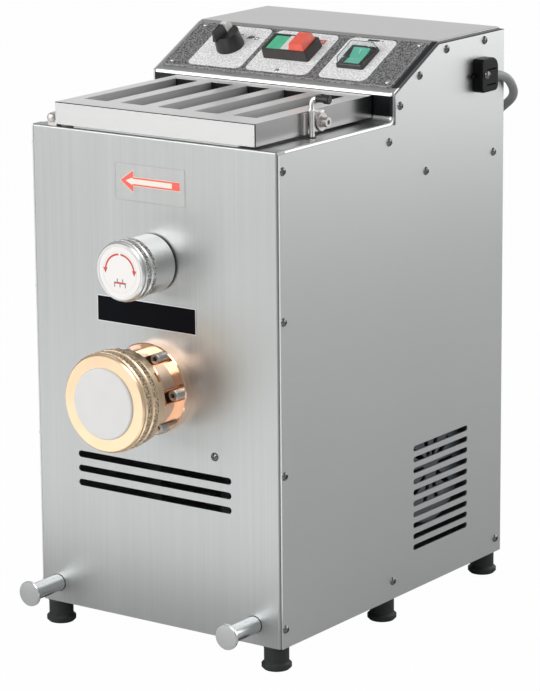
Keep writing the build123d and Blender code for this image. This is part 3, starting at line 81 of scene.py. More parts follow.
class Wire:
    """One socket of a material, so that the maths of a shader is written as an expression."""

    def __init__(self, socket):
        self.socket = socket

    def node(self, kind, inputs, output=0, stops=(), **settings):
        """Adds a node with its settings and its ramp's stops, then fills its sockets with values or wires."""
        tree = self.socket.id_data
        made = tree.nodes.new("ShaderNode" + kind)
        for name, value in settings.items():
            setattr(made, name, value)
        for index, (position, shade) in enumerate(stops):
            ramp = made.color_ramp.elements
            stop = ramp[index] if index < 2 else ramp.new(position)
            stop.position = position
            stop.color = (shade, shade, shade, 1)
        for name, value in inputs.items():
            if isinstance(value, Wire):
                tree.links.new(value.socket, made.inputs[name])
            else:
                made.inputs[name].default_value = value
        return Wire(made.outputs[output])

    def beside(self, name):
        """Another output of the same node."""
        return Wire(self.socket.node.outputs[name])

    def axes(self):
        """The x, y and z of a vector."""
        split = self.node("SeparateXYZ", {"Vector": self})
        return [split.beside(axis) for axis in "XYZ"]

    def maths(self, operation, *values):
        """A Math node on these values or wires."""
        return self.node("Math", dict(enumerate(values)), operation=operation)

    def __add__(self, other):
        return self.maths("ADD", self, other)

    __radd__ = __add__

    def __sub__(self, other):
        return self.maths("SUBTRACT", self, other)

    def __rsub__(self, other):
        return self.maths("SUBTRACT", other, self)

    def __mul__(self, other):
        return self.maths("MULTIPLY", self, other)

    __rmul__ = __mul__

    def __gt__(self, other):
        return self.maths("GREATER_THAN", self, other)

    def __lt__(self, other):
        return self.maths("LESS_THAN", self, other)

    def __abs__(self):
        return self.maths("ABSOLUTE", self)


def new_finish(name, **constants):
    """A material with these constants on its shader; gives it, its shader and the piece's own coordinates."""
    finish = bpy.data.materials.new(name)
    finish.use_nodes = True
    nodes = finish.node_tree.nodes
    shader = nodes["Principled BSDF"]
    for socket, value in constants.items():
        shader.inputs[socket.replace("_", " ")].default_value = value
    return finish, shader, Wire(nodes.new("ShaderNodeTexCoord").outputs["Object"])


def feed(shader, **wires):
    """Joins wires to a shader's sockets, named with underscores for spaces."""
    for socket, wire in wires.items():
        shader.id_data.links.new(wire.socket, shader.inputs[socket.replace("_", " ")])


def cloud(place, sizes, detail=2.0):
    """Noise from 0 to 1 whose blobs are about this size in metres, or these sizes along X, Y and Z."""
    if isinstance(sizes, float):
        sizes = (sizes, sizes, sizes)
    scales = tuple(1 / size for size in sizes)
    spread = place.node("VectorMath", {0: place, 1: scales}, operation="MULTIPLY")
    return place.node("TexNoise", {"Vector": spread, "Scale": 1.0, "Detail": detail})


paper_seen = 0.985
paper_mirrored = 0.04
paper_through = 0.9
bpy.ops.mesh.primitive_plane_add(size=9.0)
floor = bpy.context.object
floor.name = "floor"
floor_finish, floor_shader, floor_place = new_finish("floor_paper", Base_Color=(0.5, 0.5, 0.5, 1))
feed(floor_shader, Roughness=0.85 + 0.1 * cloud(floor_place, 0.3))
light_path = floor_place.node("LightPath", {})
whiteness = (
    paper_seen * light_path.beside("Is Camera Ray")
    + paper_mirrored * light_path.beside("Is Glossy Ray")
    + paper_through * light_path.beside("Is Transmission Ray")
)
paper_white = floor_place.node("Emission", {"Color": (1, 1, 1, 1), "Strength": 1.0})
floor_mix = floor_place.node("MixShader", {0: whiteness, 1: Wire(floor_shader.outputs[0]), 2: paper_white})
floor_output = floor_finish.node_tree.nodes["Material Output"]
floor_finish.node_tree.links.new(floor_mix.socket, floor_output.inputs["Surface"])
floor.data.materials.append(floor_finish)

world = bpy.data.worlds.new("room")
bpy.context.scene.world = world
world.use_nodes = True
room = world.node_tree.nodes["Background"]
room.inputs["Color"].default_value = (1, 1, 1, 1)
room_path = world.node_tree.nodes.new("ShaderNodeLightPath")
room_camera = Wire(room_path.outputs["Is Camera Ray"])
room_level = 0.34
feed(room, Strength=room_level + (1 - room_level) * room_camera)


def soft_box(name, place, size, power, target):
    """A soft light of this width and height that faces a target and keeps out of the camera's sight."""
    data = bpy.data.lights.new(name, "AREA")
    data.shape = "RECTANGLE"
    data.size, data.size_y = size
    data.energy = power
    lamp = bpy.data.objects.new(name, data)
    bpy.context.scene.collection.objects.link(lamp)
    lamp.location = place
    lamp.rotation_euler = (Vector(target) - Vector(place)).to_track_quat("-Z", "Y").to_euler()
    lamp.visible_camera = False


soft_box("key_box", (-1.55, -2.85, 1.5), (3.2, 2.6), power=71, target=view_middle)
soft_box("fill_box", (0.55, -1.9, 1.9), (1.4, 1.4), power=19, target=view_middle)
soft_box("side_card", (1.0, 1.25, 0.95), (2.6, 1.5), power=18.5, target=(0.2, 0.15, 0.95))
soft_box("back_card", (-1.45, 2.0, 1.05), (3.4, 2.0), power=9, target=(0, 0, 1.05))
soft_box("front_card", (-0.40, -0.64, 0.01), (1.3, 0.7), power=2.25, target=(-0.40, -0.64, 2.0))
soft_box("near_card", (0.62, -0.95, 0.01), (1.0, 0.9), power=1.0, target=(0.62, -0.95, 2.0))


# ---- Folded casing ----------------------------------------------------------------------------------------
# Stainless sheet 1.5 mm thick, cut and folded. The front is brushed up and down; the sides have a finer, more
# even satin grain. The folded cover is a little brighter. The top edges of the side and rear panels are
# painted near-black as painted shade in the seam under the fold. A strip of the cover right of the control
# panel is painted dark as painted shade. The riser between deck and panel is painted near-black as a painted
# reflection of the shade it faces.
def coat(finish, *names):
    """Gives CAD nodes a finish in all their material slots."""
    for name in names:
        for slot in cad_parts[name].material_slots:
            slot.material = finish


def blended(mask, first, second):
    """A colour that goes from the first to the second as the mask goes from 0 to 1."""
    first, second = ((*colour, 1) if isinstance(colour, tuple) else colour for colour in (first, second))
    return mask.node("Mix", {0: mask, 6: first, 7: second}, output=2, data_type="RGBA")


def raised(height, depth, strength=1.0):
    """A surface normal from a height of 0 to 1 that stands for this many metres."""
    return height.node("Bump", {"Strength": strength, "Distance": depth, "Height": height})


panel_overlap = 0.0018
front_low, front_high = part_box("front_panel")
casing_left = front_low.x - panel_overlap
front_steel, shader, place = new_finish("front_steel", Metallic=1.0)
lines = cloud(place, (0.0011, 0.0011, 0.25), detail=3.0)
broad_lines = cloud(place, (0.006, 0.006, 0.7))
feed(
    shader,
    Base_Color=blended(0.7 * lines + 0.3 * broad_lines, (0.41, 0.425, 0.425), (0.55, 0.565, 0.56)),
    Roughness=0.34 + 0.12 * lines,
    Normal=raised(lines, depth=0.00003, strength=0.5),
)
coat(front_steel, "front_panel")

edge_margin = 0.0004
side_steel, shader, place = new_finish("side_steel", Metallic=1.0)
grain = cloud(place, (0.0009, 0.018, 0.0009), detail=3.0)
haze = cloud(place, 0.16)
# The top edges of the side and rear panels are painted near-black: painted shade in the seam under the
# cover's fold.
seam_shade = place.axes()[2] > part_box("side_panel_right")[1].z - edge_margin
satin = blended(0.5 * grain + 0.5 * haze, (0.57, 0.58, 0.58), (0.63, 0.64, 0.64))
feed(
    shader,
    Base_Color=blended(seam_shade, satin, (0.03, 0.03, 0.03)),
    Roughness=0.38 + 0.06 * grain,
    Normal=raised(grain, depth=0.00001, strength=0.3),
)
coat(side_steel, "side_panel_left", "side_panel_right", "rear_panel")

deck_depth = 0.172
riser_y = front_low.y + deck_depth
riser_low = front_high.z + 0.0045
riser_high = riser_low + 0.0175
riser_reach = 0.0012
# A strip of the cover right of the control panel, up the slope, is painted dark: painted shade beside the
# panel.
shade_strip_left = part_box("control_overlay")[1].x + edge_margin
shade_strip_low = riser_high + 0.006
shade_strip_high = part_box("top_cover")[1].z - 0.0008
cover_steel, shader, place = new_finish("cover_steel", Metallic=1.0)
grain = cloud(place, (0.02, 0.0012, 0.0012), detail=3.0)
cover_x, cover_y, cover_z = place.axes()
# The riser between deck and slope is painted near-black: a painted reflection of the shade it faces.
riser_reflected_shade = (abs(cover_y - riser_y) < riser_reach) * (cover_z > riser_low) * (cover_z < riser_high)
on_shade_strip = (cover_x > shade_strip_left) * (cover_z > shade_strip_low) * (cover_z < shade_strip_high)
brushed = blended(grain, (0.62, 0.625, 0.62), (0.74, 0.74, 0.735))
shaded = blended(on_shade_strip, brushed, (0.09, 0.09, 0.095))
feed(
    shader,
    Base_Color=blended(riser_reflected_shade, shaded, (0.035, 0.038, 0.04)),
    Roughness=0.27 + 0.08 * grain,
    Normal=raised(grain, depth=0.00001, strength=0.3),
)
coat(cover_steel, "top_cover")


# ---- Frame, base and feet ---------------------------------------------------------------------------------
# Zinc-plated angles and a base plate inside the casing, black rubber feet turned with a flared foot, and two
# stainless posts with disc ends at the front that hold the cutter or a tray.
def mottled(
    name,
    dark,
    light,
    patches,
    roughness,
    spread,
    patch_detail=2.0,
    grain=None,
    grain_detail=2.0,
    bumps=None,
    **constants,
):
    """A material that goes from dark to light in patches, and up in roughness by spread with its grain.

    Patches and grain are the sizes of their noise. Without a grain the patches do both. bumps are the depth
    and strength of the grain's relief."""
    finish, shader, place = new_finish(name, **constants)
    tone = cloud(place, patches, patch_detail)
    fine = cloud(place, grain, grain_detail) if grain else tone
    feed(shader, Base_Color=blended(tone, dark, light), Roughness=roughness + spread * fine)
    if bumps:
        feed(shader, Normal=raised(fine, *bumps))
    return finish


frame_steel = mottled(
    "frame_steel",
    (0.42, 0.43, 0.44),
    (0.56, 0.57, 0.58),
    patches=0.012,
    roughness=0.38,
    spread=0.14,
    patch_detail=4.0,
    Metallic=1.0,
)
coat(frame_steel, "base_plate", "frame_uprights", "bearing_plate")

rubber, shader, place = new_finish("rubber", Specular_IOR_Level=0.4)
scuff = cloud(place, (0.02, 0.02, 0.008), detail=4.0)
feed(
    shader,
    Base_Color=blended(scuff, (0.012, 0.014, 0.014), (0.032, 0.036, 0.036)),
    Roughness=0.42 + 0.25 * scuff,
    Normal=raised(cloud(place, 0.0009), depth=0.0002, strength=0.25),
)
coat(rubber, "rubber_feet", "shaft_seals")

turned_steel = mottled(
    "turned_steel",
    (0.66, 0.68, 0.68),
    (0.78, 0.80, 0.80),
    patches=(0.03, 0.0008, 0.03),
    roughness=0.2,
    spread=0.08,
    Metallic=1.0,
)
coat(turned_steel, "front_posts")

# ---- Drive train ------------------------------------------------------------------------------------------
# Cut steel gears, ball bearings, an enamelled worm gearbox and fan-cooled motor, with its run capacitor and
# the terminal block at the back. They show through the vents and when a panel is off.
gear_steel = mottled(
    "gear_steel",
    (0.30, 0.29, 0.27),
    (0.50, 0.50, 0.49),
    patches=0.03,
    roughness=0.22,
    spread=0.22,
    grain=(0.0012, 0.02, 0.0012),
    grain_detail=3.0,
    Metallic=1.0,
)
coat(gear_steel, "auger_gear", "paddle_gear", "drive_pinion", "shaft_bearings")
enamel = mottled(
    "enamel",
    (0.10, 0.13, 0.15),
    (0.14, 0.17, 0.19),
    patches=0.05,
    roughness=0.42,
    spread=0.1,
    grain=0.0025,
    grain_detail=3.0,
    bumps=(0.0003, 0.3),
    Coat_Weight=0.3,
    Coat_Roughness=0.2,
)
coat(enamel, "gearbox_housing", "motor_housing", "fan_cowl")
dull_black = mottled(
    "dull_black",
    (0.010, 0.010, 0.011),
    (0.022, 0.021, 0.022),
    patches=0.02,
    roughness=0.38,
    spread=0.12,
    grain=0.0006,
    bumps=(0.00008, 0.2),
)
coat(dull_black, "motor_fan", "run_capacitor", "interlock_switch", "selector_switch", "contact_block")
pale_plastic = mottled(
    "pale_plastic",
    (0.70, 0.69, 0.66),
    (0.78, 0.77, 0.74),
    patches=0.03,
    roughness=0.34,
    spread=0.1,
    grain=0.0012,
)
coat(pale_plastic, "terminal_block")

# ---- Tank, paddle, barrel and auger -----------------------------------------------------------------------
# The kneading trough is pressed from food-grade sheet, polished inside. Paddle, barrel and auger are turned
# and welded stainless, and the paddle's bars pass close over the bottom of the trough.
tank_steel = mottled(
    "tank_steel",
    (0.50, 0.51, 0.51),
    (0.64, 0.65, 0.65),
    patches=(0.05, 0.0015, 0.05),
    roughness=0.16,
    spread=0.1,
    patch_detail=3.0,
    Metallic=1.0,
)
coat(tank_steel, "mixing_tank", "mixing_paddle", "extrusion_barrel", "auger_screw")

# ---- Casing screws ----------------------------------------------------------------------------------------
# Stainless pan head screws with a cross recess, turned to whatever angle they came tight at. One is modelled
# with a domed head and a cut cross, and copied to each place where the casing has a screw.
smooth_angle = math.radians(35)
merge_distance = 0.00001


def pick(*pieces):
    """Selects these pieces and no others, with the first one active."""
    bpy.ops.object.select_all(action="DESELECT")
    for piece in pieces:
        piece.select_set(True)
    bpy.context.view_layer.objects.active = pieces[0]


def merge_corners(piece):
    """Picks a piece and merges the corners that its faces don't share yet."""
    pick(piece)
    bpy.ops.object.mode_set(mode="EDIT")
    bpy.ops.mesh.select_all(action="SELECT")
    bpy.ops.mesh.remove_doubles(threshold=merge_distance)
    bpy.ops.object.mode_set(mode="OBJECT")


def cross_screw(name, radius, height):
    """A domed screw head on the ground plane, facing +Z, with a cross recess."""
    cut_level = 0.25 * radius
    recess_size = (1.15 * radius, 0.26 * radius, 1.1 * height)
    bpy.ops.mesh.primitive_uv_sphere_add(segments=24, ring_count=14, radius=radius)
    head = bpy.context.object
    head.name = name
    bpy.ops.object.mode_set(mode="EDIT")
    bpy.ops.mesh.select_all(action="SELECT")
    bpy.ops.mesh.bisect(plane_co=(0, 0, cut_level), plane_no=(0, 0, 1), clear_inner=True, use_fill=True)
    bpy.ops.mesh.select_all(action="SELECT")
    bpy.ops.transform.translate(value=(0, 0, -cut_level))
    bpy.ops.transform.resize(value=(1, 1, height / (radius - cut_level)), center_override=(0, 0, 0))
    bpy.ops.object.mode_set(mode="OBJECT")
    for turned in (0, math.pi / 2):
        bpy.ops.mesh.primitive_cube_add(size=1, location=(0, 0, height), rotation=(0, 0, turned))
        cutter = bpy.context.object
        cutter.scale = recess_size
        bpy.context.view_layer.objects.active = head
        recess = head.modifiers.new("recess", "BOOLEAN")
        recess.object = cutter
        bpy.ops.object.modifier_apply(modifier="recess")
        bpy.data.objects.remove(cutter)
    head.select_set(True)
    bpy.ops.object.shade_smooth_by_angle(angle=smooth_angle)
    bpy.ops.object.select_all(action="DESELECT")
    return head


def twin_of(piece):
    """A copy of a piece with its own mesh."""
    twin = piece.copy()
    twin.data = piece.data.copy()
    bpy.context.scene.collection.objects.link(twin)
    return twin


def loose_boxes(node):
    """The lowest and highest corner of each separate solid of a CAD node."""
    merge_corners(twin_of(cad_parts[node]))
    bpy.ops.object.mode_set(mode="EDIT")
    bpy.ops.mesh.separate(type="LOOSE")
    bpy.ops.object.mode_set(mode="OBJECT")
    boxes = []
    for solid in list(bpy.context.selected_objects):
        levels = list(zip(*solid.bound_box))
        boxes.append((Vector([min(level) for level in levels]), Vector([max(level) for level in levels])))
        bpy.data.objects.remove(solid)
    return boxes


def middle_of(node):
    """The middle of a CAD node's box."""
    low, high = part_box(node)
    return (low + high) / 2


def join_pieces(name, pieces, finish, body):
    """Joins pieces into one that has this finish and rides on a body."""
    pick(*pieces)
    bpy.ops.object.join()
    joined = bpy.context.object
    joined.name = name
    joined.data.materials.clear()
    joined.data.materials.append(finish)
    bpy.ops.object.select_all(action="DESELECT")
    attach(joined, body)
    return joined


def copies(pattern, places):
    """A copy of a piece at each place; the pattern itself goes."""
    made = []
    for place in places:
        twin = twin_of(pattern)
        twin.data.transform(place)
        made.append(twin)
    bpy.data.objects.remove(pattern)
    return made


screw_steel = mottled(
    "screw_steel",
    (0.10, 0.11, 0.11),
    (0.34, 0.35, 0.35),
    patches=0.002,
    roughness=0.14,
    spread=0.12,
    patch_detail=3.0,
    Metallic=1.0,
)
screw_radius = 0.004
screw_height = 0.0024
screw_turn = math.radians(37)
machine_middle = middle_of("base_plate")
screw_places = []
for index, (lowest, highest) in enumerate(loose_boxes("casing_screws")):
    size = highest - lowest
    axis = max((0, 1), key=lambda which: size[which])
    seat = (lowest + highest) / 2
    outward = Vector((0, 0, 0))
    outward[axis] = 1 if seat[axis] > machine_middle[axis] else -1
    seat[axis] = (highest[axis] if outward[axis] > 0 else lowest[axis]) - outward[axis] * screw_height
    facing = outward.to_track_quat("Z", "Y").to_matrix().to_4x4()
    screw_places.append(Matrix.Translation(seat) @ facing @ Matrix.Rotation(index * screw_turn, 4, "Z"))
screw_heads = join_pieces(
    "casing_screw_heads",
    copies(cross_screw("screw_head", screw_radius, screw_height), screw_places),
    screw_steel,
    "casing",
)
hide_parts("casing_screws")

# ---- Bronze flange, thread and screws ---------------------------------------------------------------------
# The barrel's front flange is cast bronze, turned and polished, with pockets for six hexagon socket screws.
# The ring nut runs on the coarse thread at its front end.
bronze, shader, place = new_finish("bronze", Metallic=1.0)
lathe = cloud(place, (0.04, 0.0007, 0.04))
tarnish = cloud(place, 0.012, detail=4.0)
feed(
    shader,
    Base_Color=blended(tarnish, (0.80, 0.52, 0.38), (0.92, 0.70, 0.54)),
    Roughness=0.08 + 0.06 * lathe + 0.05 * tarnish,
)
coat(bronze, "barrel_flange")
cap_steel = mottled(
    "cap_steel",
    (0.48, 0.46, 0.44),
    (0.74, 0.72, 0.70),
    patches=0.003,
    roughness=0.38,
    spread=0.1,
    patch_detail=3.0,
    Metallic=1.0,
)
coat(cap_steel, "flange_screws", "hinge_screws", "catch_screw", "catch_disc")


# ---- Ring nut and die -------------------------------------------------------------------------------------
# The nut is turned brass with two rolled knurl bands and six notches for a hook spanner. It holds the die,
# here a white plastic blank that closes the barrel.
def knurled_band(name, middle, radius, width, pitch, height):
    """A band of small pyramids, set cornerwise, round an axis along Y."""
    columns = round(2 * math.pi * radius / pitch)
    rows = round(width / pitch)
    slack = 0.1
    inward = 1 - 1.5 * height / radius
    bpy.ops.mesh.primitive_cylinder_add(
        vertices=columns,
        radius=radius,
        depth=width,
        end_fill_type="NOTHING",
        location=middle,
        rotation=(math.pi / 2, 0, 0),
    )
    bpy.ops.object.transform_apply()
    band = bpy.context.object
    band.name = name
    mesh = band.data
    low = middle[1] - width / 2
    bpy.ops.object.mode_set(mode="EDIT")
    bpy.ops.mesh.select_mode(type="EDGE")
    bpy.ops.mesh.select_all(action="DESELECT")
    bpy.ops.object.mode_set(mode="OBJECT")
    for edge in mesh.edges:
        first, second = (mesh.vertices[index].co for index in edge.vertices)
        edge.select = abs(first.y - second.y) > width / 2
    bpy.ops.object.mode_set(mode="EDIT")
    bpy.ops.mesh.subdivide(number_cuts=rows - 1)
    bpy.ops.mesh.select_all(action="SELECT")
    bpy.ops.mesh.poke()
    bpy.ops.mesh.select_all(action="DESELECT")
    bpy.ops.object.mode_set(mode="OBJECT")
    for edge in mesh.edges:
        levels = [(mesh.vertices[index].co.y - low) * rows / width for index in edge.vertices]
        on_grid = all(abs(level - round(level)) < slack for level in levels)
        on_rim = all(level < slack for level in levels) or all(level > rows - slack for level in levels)
        edge.select = on_grid and not on_rim
    bpy.ops.object.mode_set(mode="EDIT")
    bpy.ops.mesh.dissolve_edges(use_verts=False)
    bpy.ops.mesh.select_all(action="SELECT")
    bpy.ops.mesh.poke(offset=height)
    bpy.ops.mesh.select_all(action="DESELECT")
    bpy.ops.mesh.select_non_manifold()
    bpy.ops.mesh.extrude_edges_move()
    bpy.ops.transform.resize(value=(inward, 1, inward), center_override=middle)
    bpy.ops.mesh.bridge_edge_loops()
    bpy.ops.mesh.select_all(action="SELECT")
    bpy.ops.mesh.normals_make_consistent(inside=False)
    bpy.ops.object.mode_set(mode="OBJECT")
    return band


def cells(place, scale, randomness):
    """The distance from the nearest of many scattered points, this many to a metre."""
    return place.node("TexVoronoi", {"Vector": place, "Scale": scale, "Randomness": randomness})


def knurled_metal(name, dark, light, scale, contrast, depth, roughness):
    """Metal with painted glints: bright cells, with painted shade in the dark grooves between them."""
    finish, shader, place = new_finish(name, Metallic=1.0)
    grime = cloud(place, 0.003, detail=4.0)
    painted_glints = contrast * cells(place, scale, 0.8) + 0.4 * grime - depth
    feed(shader, Base_Color=blended(painted_glints, dark, light), Roughness=roughness + 0.15 * grime)
    return finish


brass = mottled(
    "brass",
    (0.93, 0.67, 0.43),
    (1.0, 0.79, 0.55),
    patches=0.02,
    roughness=0.24,
    spread=0.1,
    patch_detail=4.0,
    grain=(0.05, 0.0007, 0.05),
    Metallic=1.0,
)
coat(brass, "ring_nut")
# The nut's knurl bands carry painted glints, with painted shade in their grooves.
knurl_brass = knurled_metal(
    "knurl_brass",
    (0.17, 0.12, 0.08),
    (0.90, 0.74, 0.56),
    scale=480.0,
    contrast=1.8,
    depth=0.45,
    roughness=0.3,
)
nut_middle = middle_of("ring_nut")
nut_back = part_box("ring_nut")[1].y
nut_bands = []
for setback in (0.0136, 0.0232):
    band_middle = Vector((nut_middle.x, nut_back - setback, nut_middle.z))
    nut_bands.append(
        knurled_band("nut_band", band_middle, radius=0.04278, width=0.0058, pitch=0.0021, height=0.0005)
    )
join_pieces("nut_knurl", nut_bands, knurl_brass, "nut")
die_plastic = mottled(
    "die_plastic",
    (0.56, 0.555, 0.545),
    (0.62, 0.615, 0.605),
    patches=0.03,
    roughness=0.36,
    spread=0.08,
    grain=0.0015,
    Subsurface_Weight=0.15,
    Subsurface_Radius=(0.002, 0.002, 0.002),
)
coat(die_plastic, "die_insert")

# ---- Paddle knob ------------------------------------------------------------------------------------------
# A turned aluminium knob with two knurl bands and a printed white disc let into its face. Unscrewed, it frees
# the paddle. Its print shows which way to turn it and the paddle it holds.
aluminium = mottled(
    "aluminium",
    (0.74, 0.74, 0.73),
    (0.86, 0.86, 0.85),
    patches=(0.04, 0.0006, 0.04),
    roughness=0.26,
    spread=0.08,
    Metallic=1.0,
)
coat(aluminium, "paddle_knob", "latch_rod")
coat(rubber, "knob_washer")
# The knob's knurl bands carry painted glints, with painted shade in their grooves.
knurl_aluminium = knurled_metal(
    "knurl_aluminium",
    (0.05, 0.05, 0.05),
    (0.86, 0.86, 0.85),
    scale=520.0,
    contrast=1.9,
    depth=0.5,
    roughness=0.32,
)
knob_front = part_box("paddle_knob")[0].y
knob_middle = middle_of("knob_washer")
knob_bands = []
for setback in (0.007, 0.0145):
    band_middle = Vector((knob_middle.x, knob_front + setback, knob_middle.z))
    knob_bands.append(
        knurled_band("knob_band", band_middle, radius=0.02602, width=0.0048, pitch=0.0016, height=0.00042)
    )
join_pieces("knob_knurl", knob_bands, knurl_aluminium, "knob")


def lifted(plane, height):
    """A plane parallel to this one, this far before it."""
    return plane @ Matrix.Translation((0, 0, height))


def flat_piece(name, outlines, plane, thickness, finish, body):
    """A thin flat piece laid on a plane: outlines inside others are holes."""
    curve = bpy.data.curves.new(name, "CURVE")
    curve.dimensions = "2D"
    curve.fill_mode = "BOTH"
    curve.extrude = thickness / 2
    for outline in outlines:
        spline = curve.splines.new("POLY")
        spline.points.add(len(outline) - 1)
        for point, (across, up) in zip(spline.points, outline):
            point.co = (across, up, 0, 1)
        spline.use_cyclic_u = True
    piece = bpy.data.objects.new(name, curve)
    bpy.context.scene.collection.objects.link(piece)
    pick(piece)
    bpy.ops.object.convert(target="MESH")
    piece = bpy.context.object
    piece.data.transform(lifted(plane, thickness / 2))
    piece.data.materials.append(finish)
    bpy.ops.object.select_all(action="DESELECT")
    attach(piece, body)


def facing_plane(origin, normal):
    """The matrix that lays a flat piece on this spot, its x along the frame's, facing along normal."""
    across = Vector((1, 0, 0))
    return Matrix.Translation(origin) @ Matrix((across, normal.cross(across), normal)).transposed().to_4x4()


def arc_points(middle, radius, start, end, steps):
    """Points along an arc; angles in degrees, anticlockwise from the right."""
    points = []
    for step in range(steps + 1):
        angle = math.radians(start + (end - start) * step / steps)
        points.append((middle[0] + radius * math.cos(angle), middle[1] + radius * math.sin(angle)))
    return points


def polygon(radius, corners):
    """The outline of a regular polygon, which with many corners is a circle."""
    return arc_points((0, 0), radius, 0, 360 - 360 / corners, corners - 1)


def rectangle(left, right, low, high):
    """The outline of a box with sharp corners."""
    return [(left, low), (right, low), (right, high), (left, high)]


def printed(name, colour, roughness):
    """Screen ink: nearly even, with a fine grain."""
    shade = tuple(0.85 * part for part in colour)
    return mottled(name, shade, colour, patches=0.0008, roughness=roughness, spread=0.08, grain=0.002)


white_print = printed("white_print", (0.80, 0.78, 0.76), 0.35)
red_print = printed("red_print", (0.58, 0.065, 0.06), 0.4)
grey_print = printed("grey_print", (0.16, 0.16, 0.16), 0.4)
pale_line = printed("pale_line", (0.62, 0.61, 0.59), 0.4)

forwards = Vector((0, -1, 0))
ink = 0.00008
disc_thickness = 0.00035
disc_radius = 0.0217
disc_depth = 0.0005
knob_face = facing_plane((knob_middle.x, knob_front + disc_depth, knob_middle.z), forwards)
disc_corners = 60
disc = [polygon(disc_radius, disc_corners)]
flat_piece("knob_disc", disc, knob_face, disc_thickness, white_print, "knob")
knob_print = lifted(knob_face, disc_thickness)
disc_line = [polygon(radius, disc_corners) for radius in (0.0176, 0.0174)]
flat_piece("knob_disc_line", disc_line, knob_print, ink, pale_line, "knob")
arrow_radius = 0.0150
arrow_width = 0.0016
arc_steps = 40
head_half_width = 0.0023
head_back = 0.0026
head_front = -0.0022
tip_shift = 0.0002
for hand, start, end in (("left", 94, 170), ("right", 86, 10)):
    outer_arc = arc_points((0, 0), arrow_radius + arrow_width / 2, start, end, arc_steps)
    inner_arc = arc_points((0, 0), arrow_radius - arrow_width / 2, end, start, arc_steps)
    arc = [outer_arc + inner_arc]
    flat_piece(f"knob_arc_{hand}", arc, knob_print, ink, red_print, "knob")
    side = math.copysign(1, math.cos(math.radians(end)))
    tip_x = side * (arrow_radius + tip_shift)
    head = [
        (tip_x - head_half_width, head_back),
        (tip_x + head_half_width, head_back),
        (tip_x - side * tip_shift, head_front),
    ]
    flat_piece(f"knob_arrow_{hand}", [head], knob_print, ink, red_print, "knob")
bar = rectangle(-0.0062, 0.0062, -0.0102, -0.0086)
flat_piece("knob_bar", [bar], knob_print, ink, red_print, "knob")
tick = rectangle(-0.0004, 0.0004, 0, 0.0038)
tick_spacing = 0.0028
high_foot = -0.0096
low_foot = -0.0130
for index in range(5):
    foot = high_foot if index % 2 else low_foot
    spot = knob_print @ Matrix.Translation(((index - 2) * tick_spacing, foot, 0))
    flat_piece(f"knob_tick_{index}", [tick], spot, 1.2 * ink, grey_print, "knob")

# ---- Flange screw sockets ---------------------------------------------------------------------------------
# Six steel cap screws hold the flange, each with a hexagon socket pressed into its head. A thin dark hexagon
# a little inside each head is the socket's painted shade.
socket_radius = 0.0029
socket_depth = 0.0012
hexagon = [polygon(socket_radius, 6)]
for index, (lowest, highest) in enumerate(loose_boxes("flange_screws")):
    spot = Vector(((lowest.x + highest.x) / 2, lowest.y + socket_depth, (lowest.z + highest.z) / 2))
    socket_shade_plane = facing_plane(spot, forwards)
    flat_piece(f"flange_socket_shade_{index}", hexagon, socket_shade_plane, ink, dull_black, "casing")


# ---- Labels on the front ----------------------------------------------------------------------------------
# A clear foil label with a red outlined arrow that shows which way the paddle turns, and a bare black name
# plate with a thin bright edge.
def rounded_box(left, right, low, high, radius, inset=0.0):
    """The outline of a box with rounded corners, smaller all round by an inset."""
    corner_steps = 8
    reach = radius + inset
    corners = [
        ((right - reach, high - reach), 0),
        ((left + reach, high - reach), 90),
        ((left + reach, low + reach), 180),
        ((right - reach, low + reach), 270),
    ]
    outline = []
    for middle, start in corners:
        outline += arc_points(middle, radius, start, start + 90, corner_steps)
    return outline


casing_base = 0.021
front_plane = facing_plane((casing_left, front_low.y, casing_base), forwards)
foil = mottled(
    "foil",
    (0.86, 0.80, 0.76),
    (0.92, 0.87, 0.83),
    patches=0.02,
    roughness=0.3,
    spread=0.1,
    grain=0.004,
    Alpha=0.05,
    Specular_IOR_Level=0.2,
)
foil_edge_shade = printed("foil_edge_shade", (0.34, 0.34, 0.33), 0.5)
# left, right, low and high edge, from the casing's left side and its base
label_edges = (0.0915, 0.1645, 0.370, 0.4015)
label_corner = 0.001
foil_outline = [rounded_box(*label_edges, label_corner)]
foil_plane = lifted(front_plane, 0.3 * ink)
flat_piece("arrow_foil", foil_outline, foil_plane, ink, foil, "casing")
# The grey ring round the foil's edge is painted shade of the film's cut edge.
foil_rim = [rounded_box(*label_edges, label_corner, inset) for inset in (-0.0002, 0.0001)]
flat_piece("arrow_foil_rim", foil_rim, front_plane, 1.6 * ink, foil_edge_shade, "casing")
arrow_level = 0.3868
arrow_tip = 0.0970
arrow_neck = 0.1104
arrow_end = 0.1594
head_half = 0.0093
body_half = 0.0036
line_width = 0.0014
window_tip = arrow_tip + 0.0052
window_neck = arrow_neck + 0.0002
window_end = arrow_end - 0.0082
window_half = body_half - line_width
window_flare = 0.0009
window_upper = [
    (arrow_neck - line_width, arrow_level + window_half + window_flare),
    (window_neck, arrow_level + window_half),
    (window_end, arrow_level + window_half),
]


def mirrored(points):
    """The same points on the other side of the arrow's middle line, in reversed order."""
    return [(across, 2 * arrow_level - up) for across, up in reversed(points)]


def arrow_outline(margin):
    """The outline of the label's arrow, larger all round by a margin."""
    mitre_back = 1.8
    mitre_tip = 1.5
    upper = [
        (arrow_neck + margin, arrow_level + head_half + mitre_back * margin),
        (arrow_neck + margin, arrow_level + body_half + margin),
        (arrow_end + margin, arrow_level + body_half + margin),
    ]
    return [(arrow_tip - mitre_tip * margin, arrow_level)] + upper + mirrored(upper)


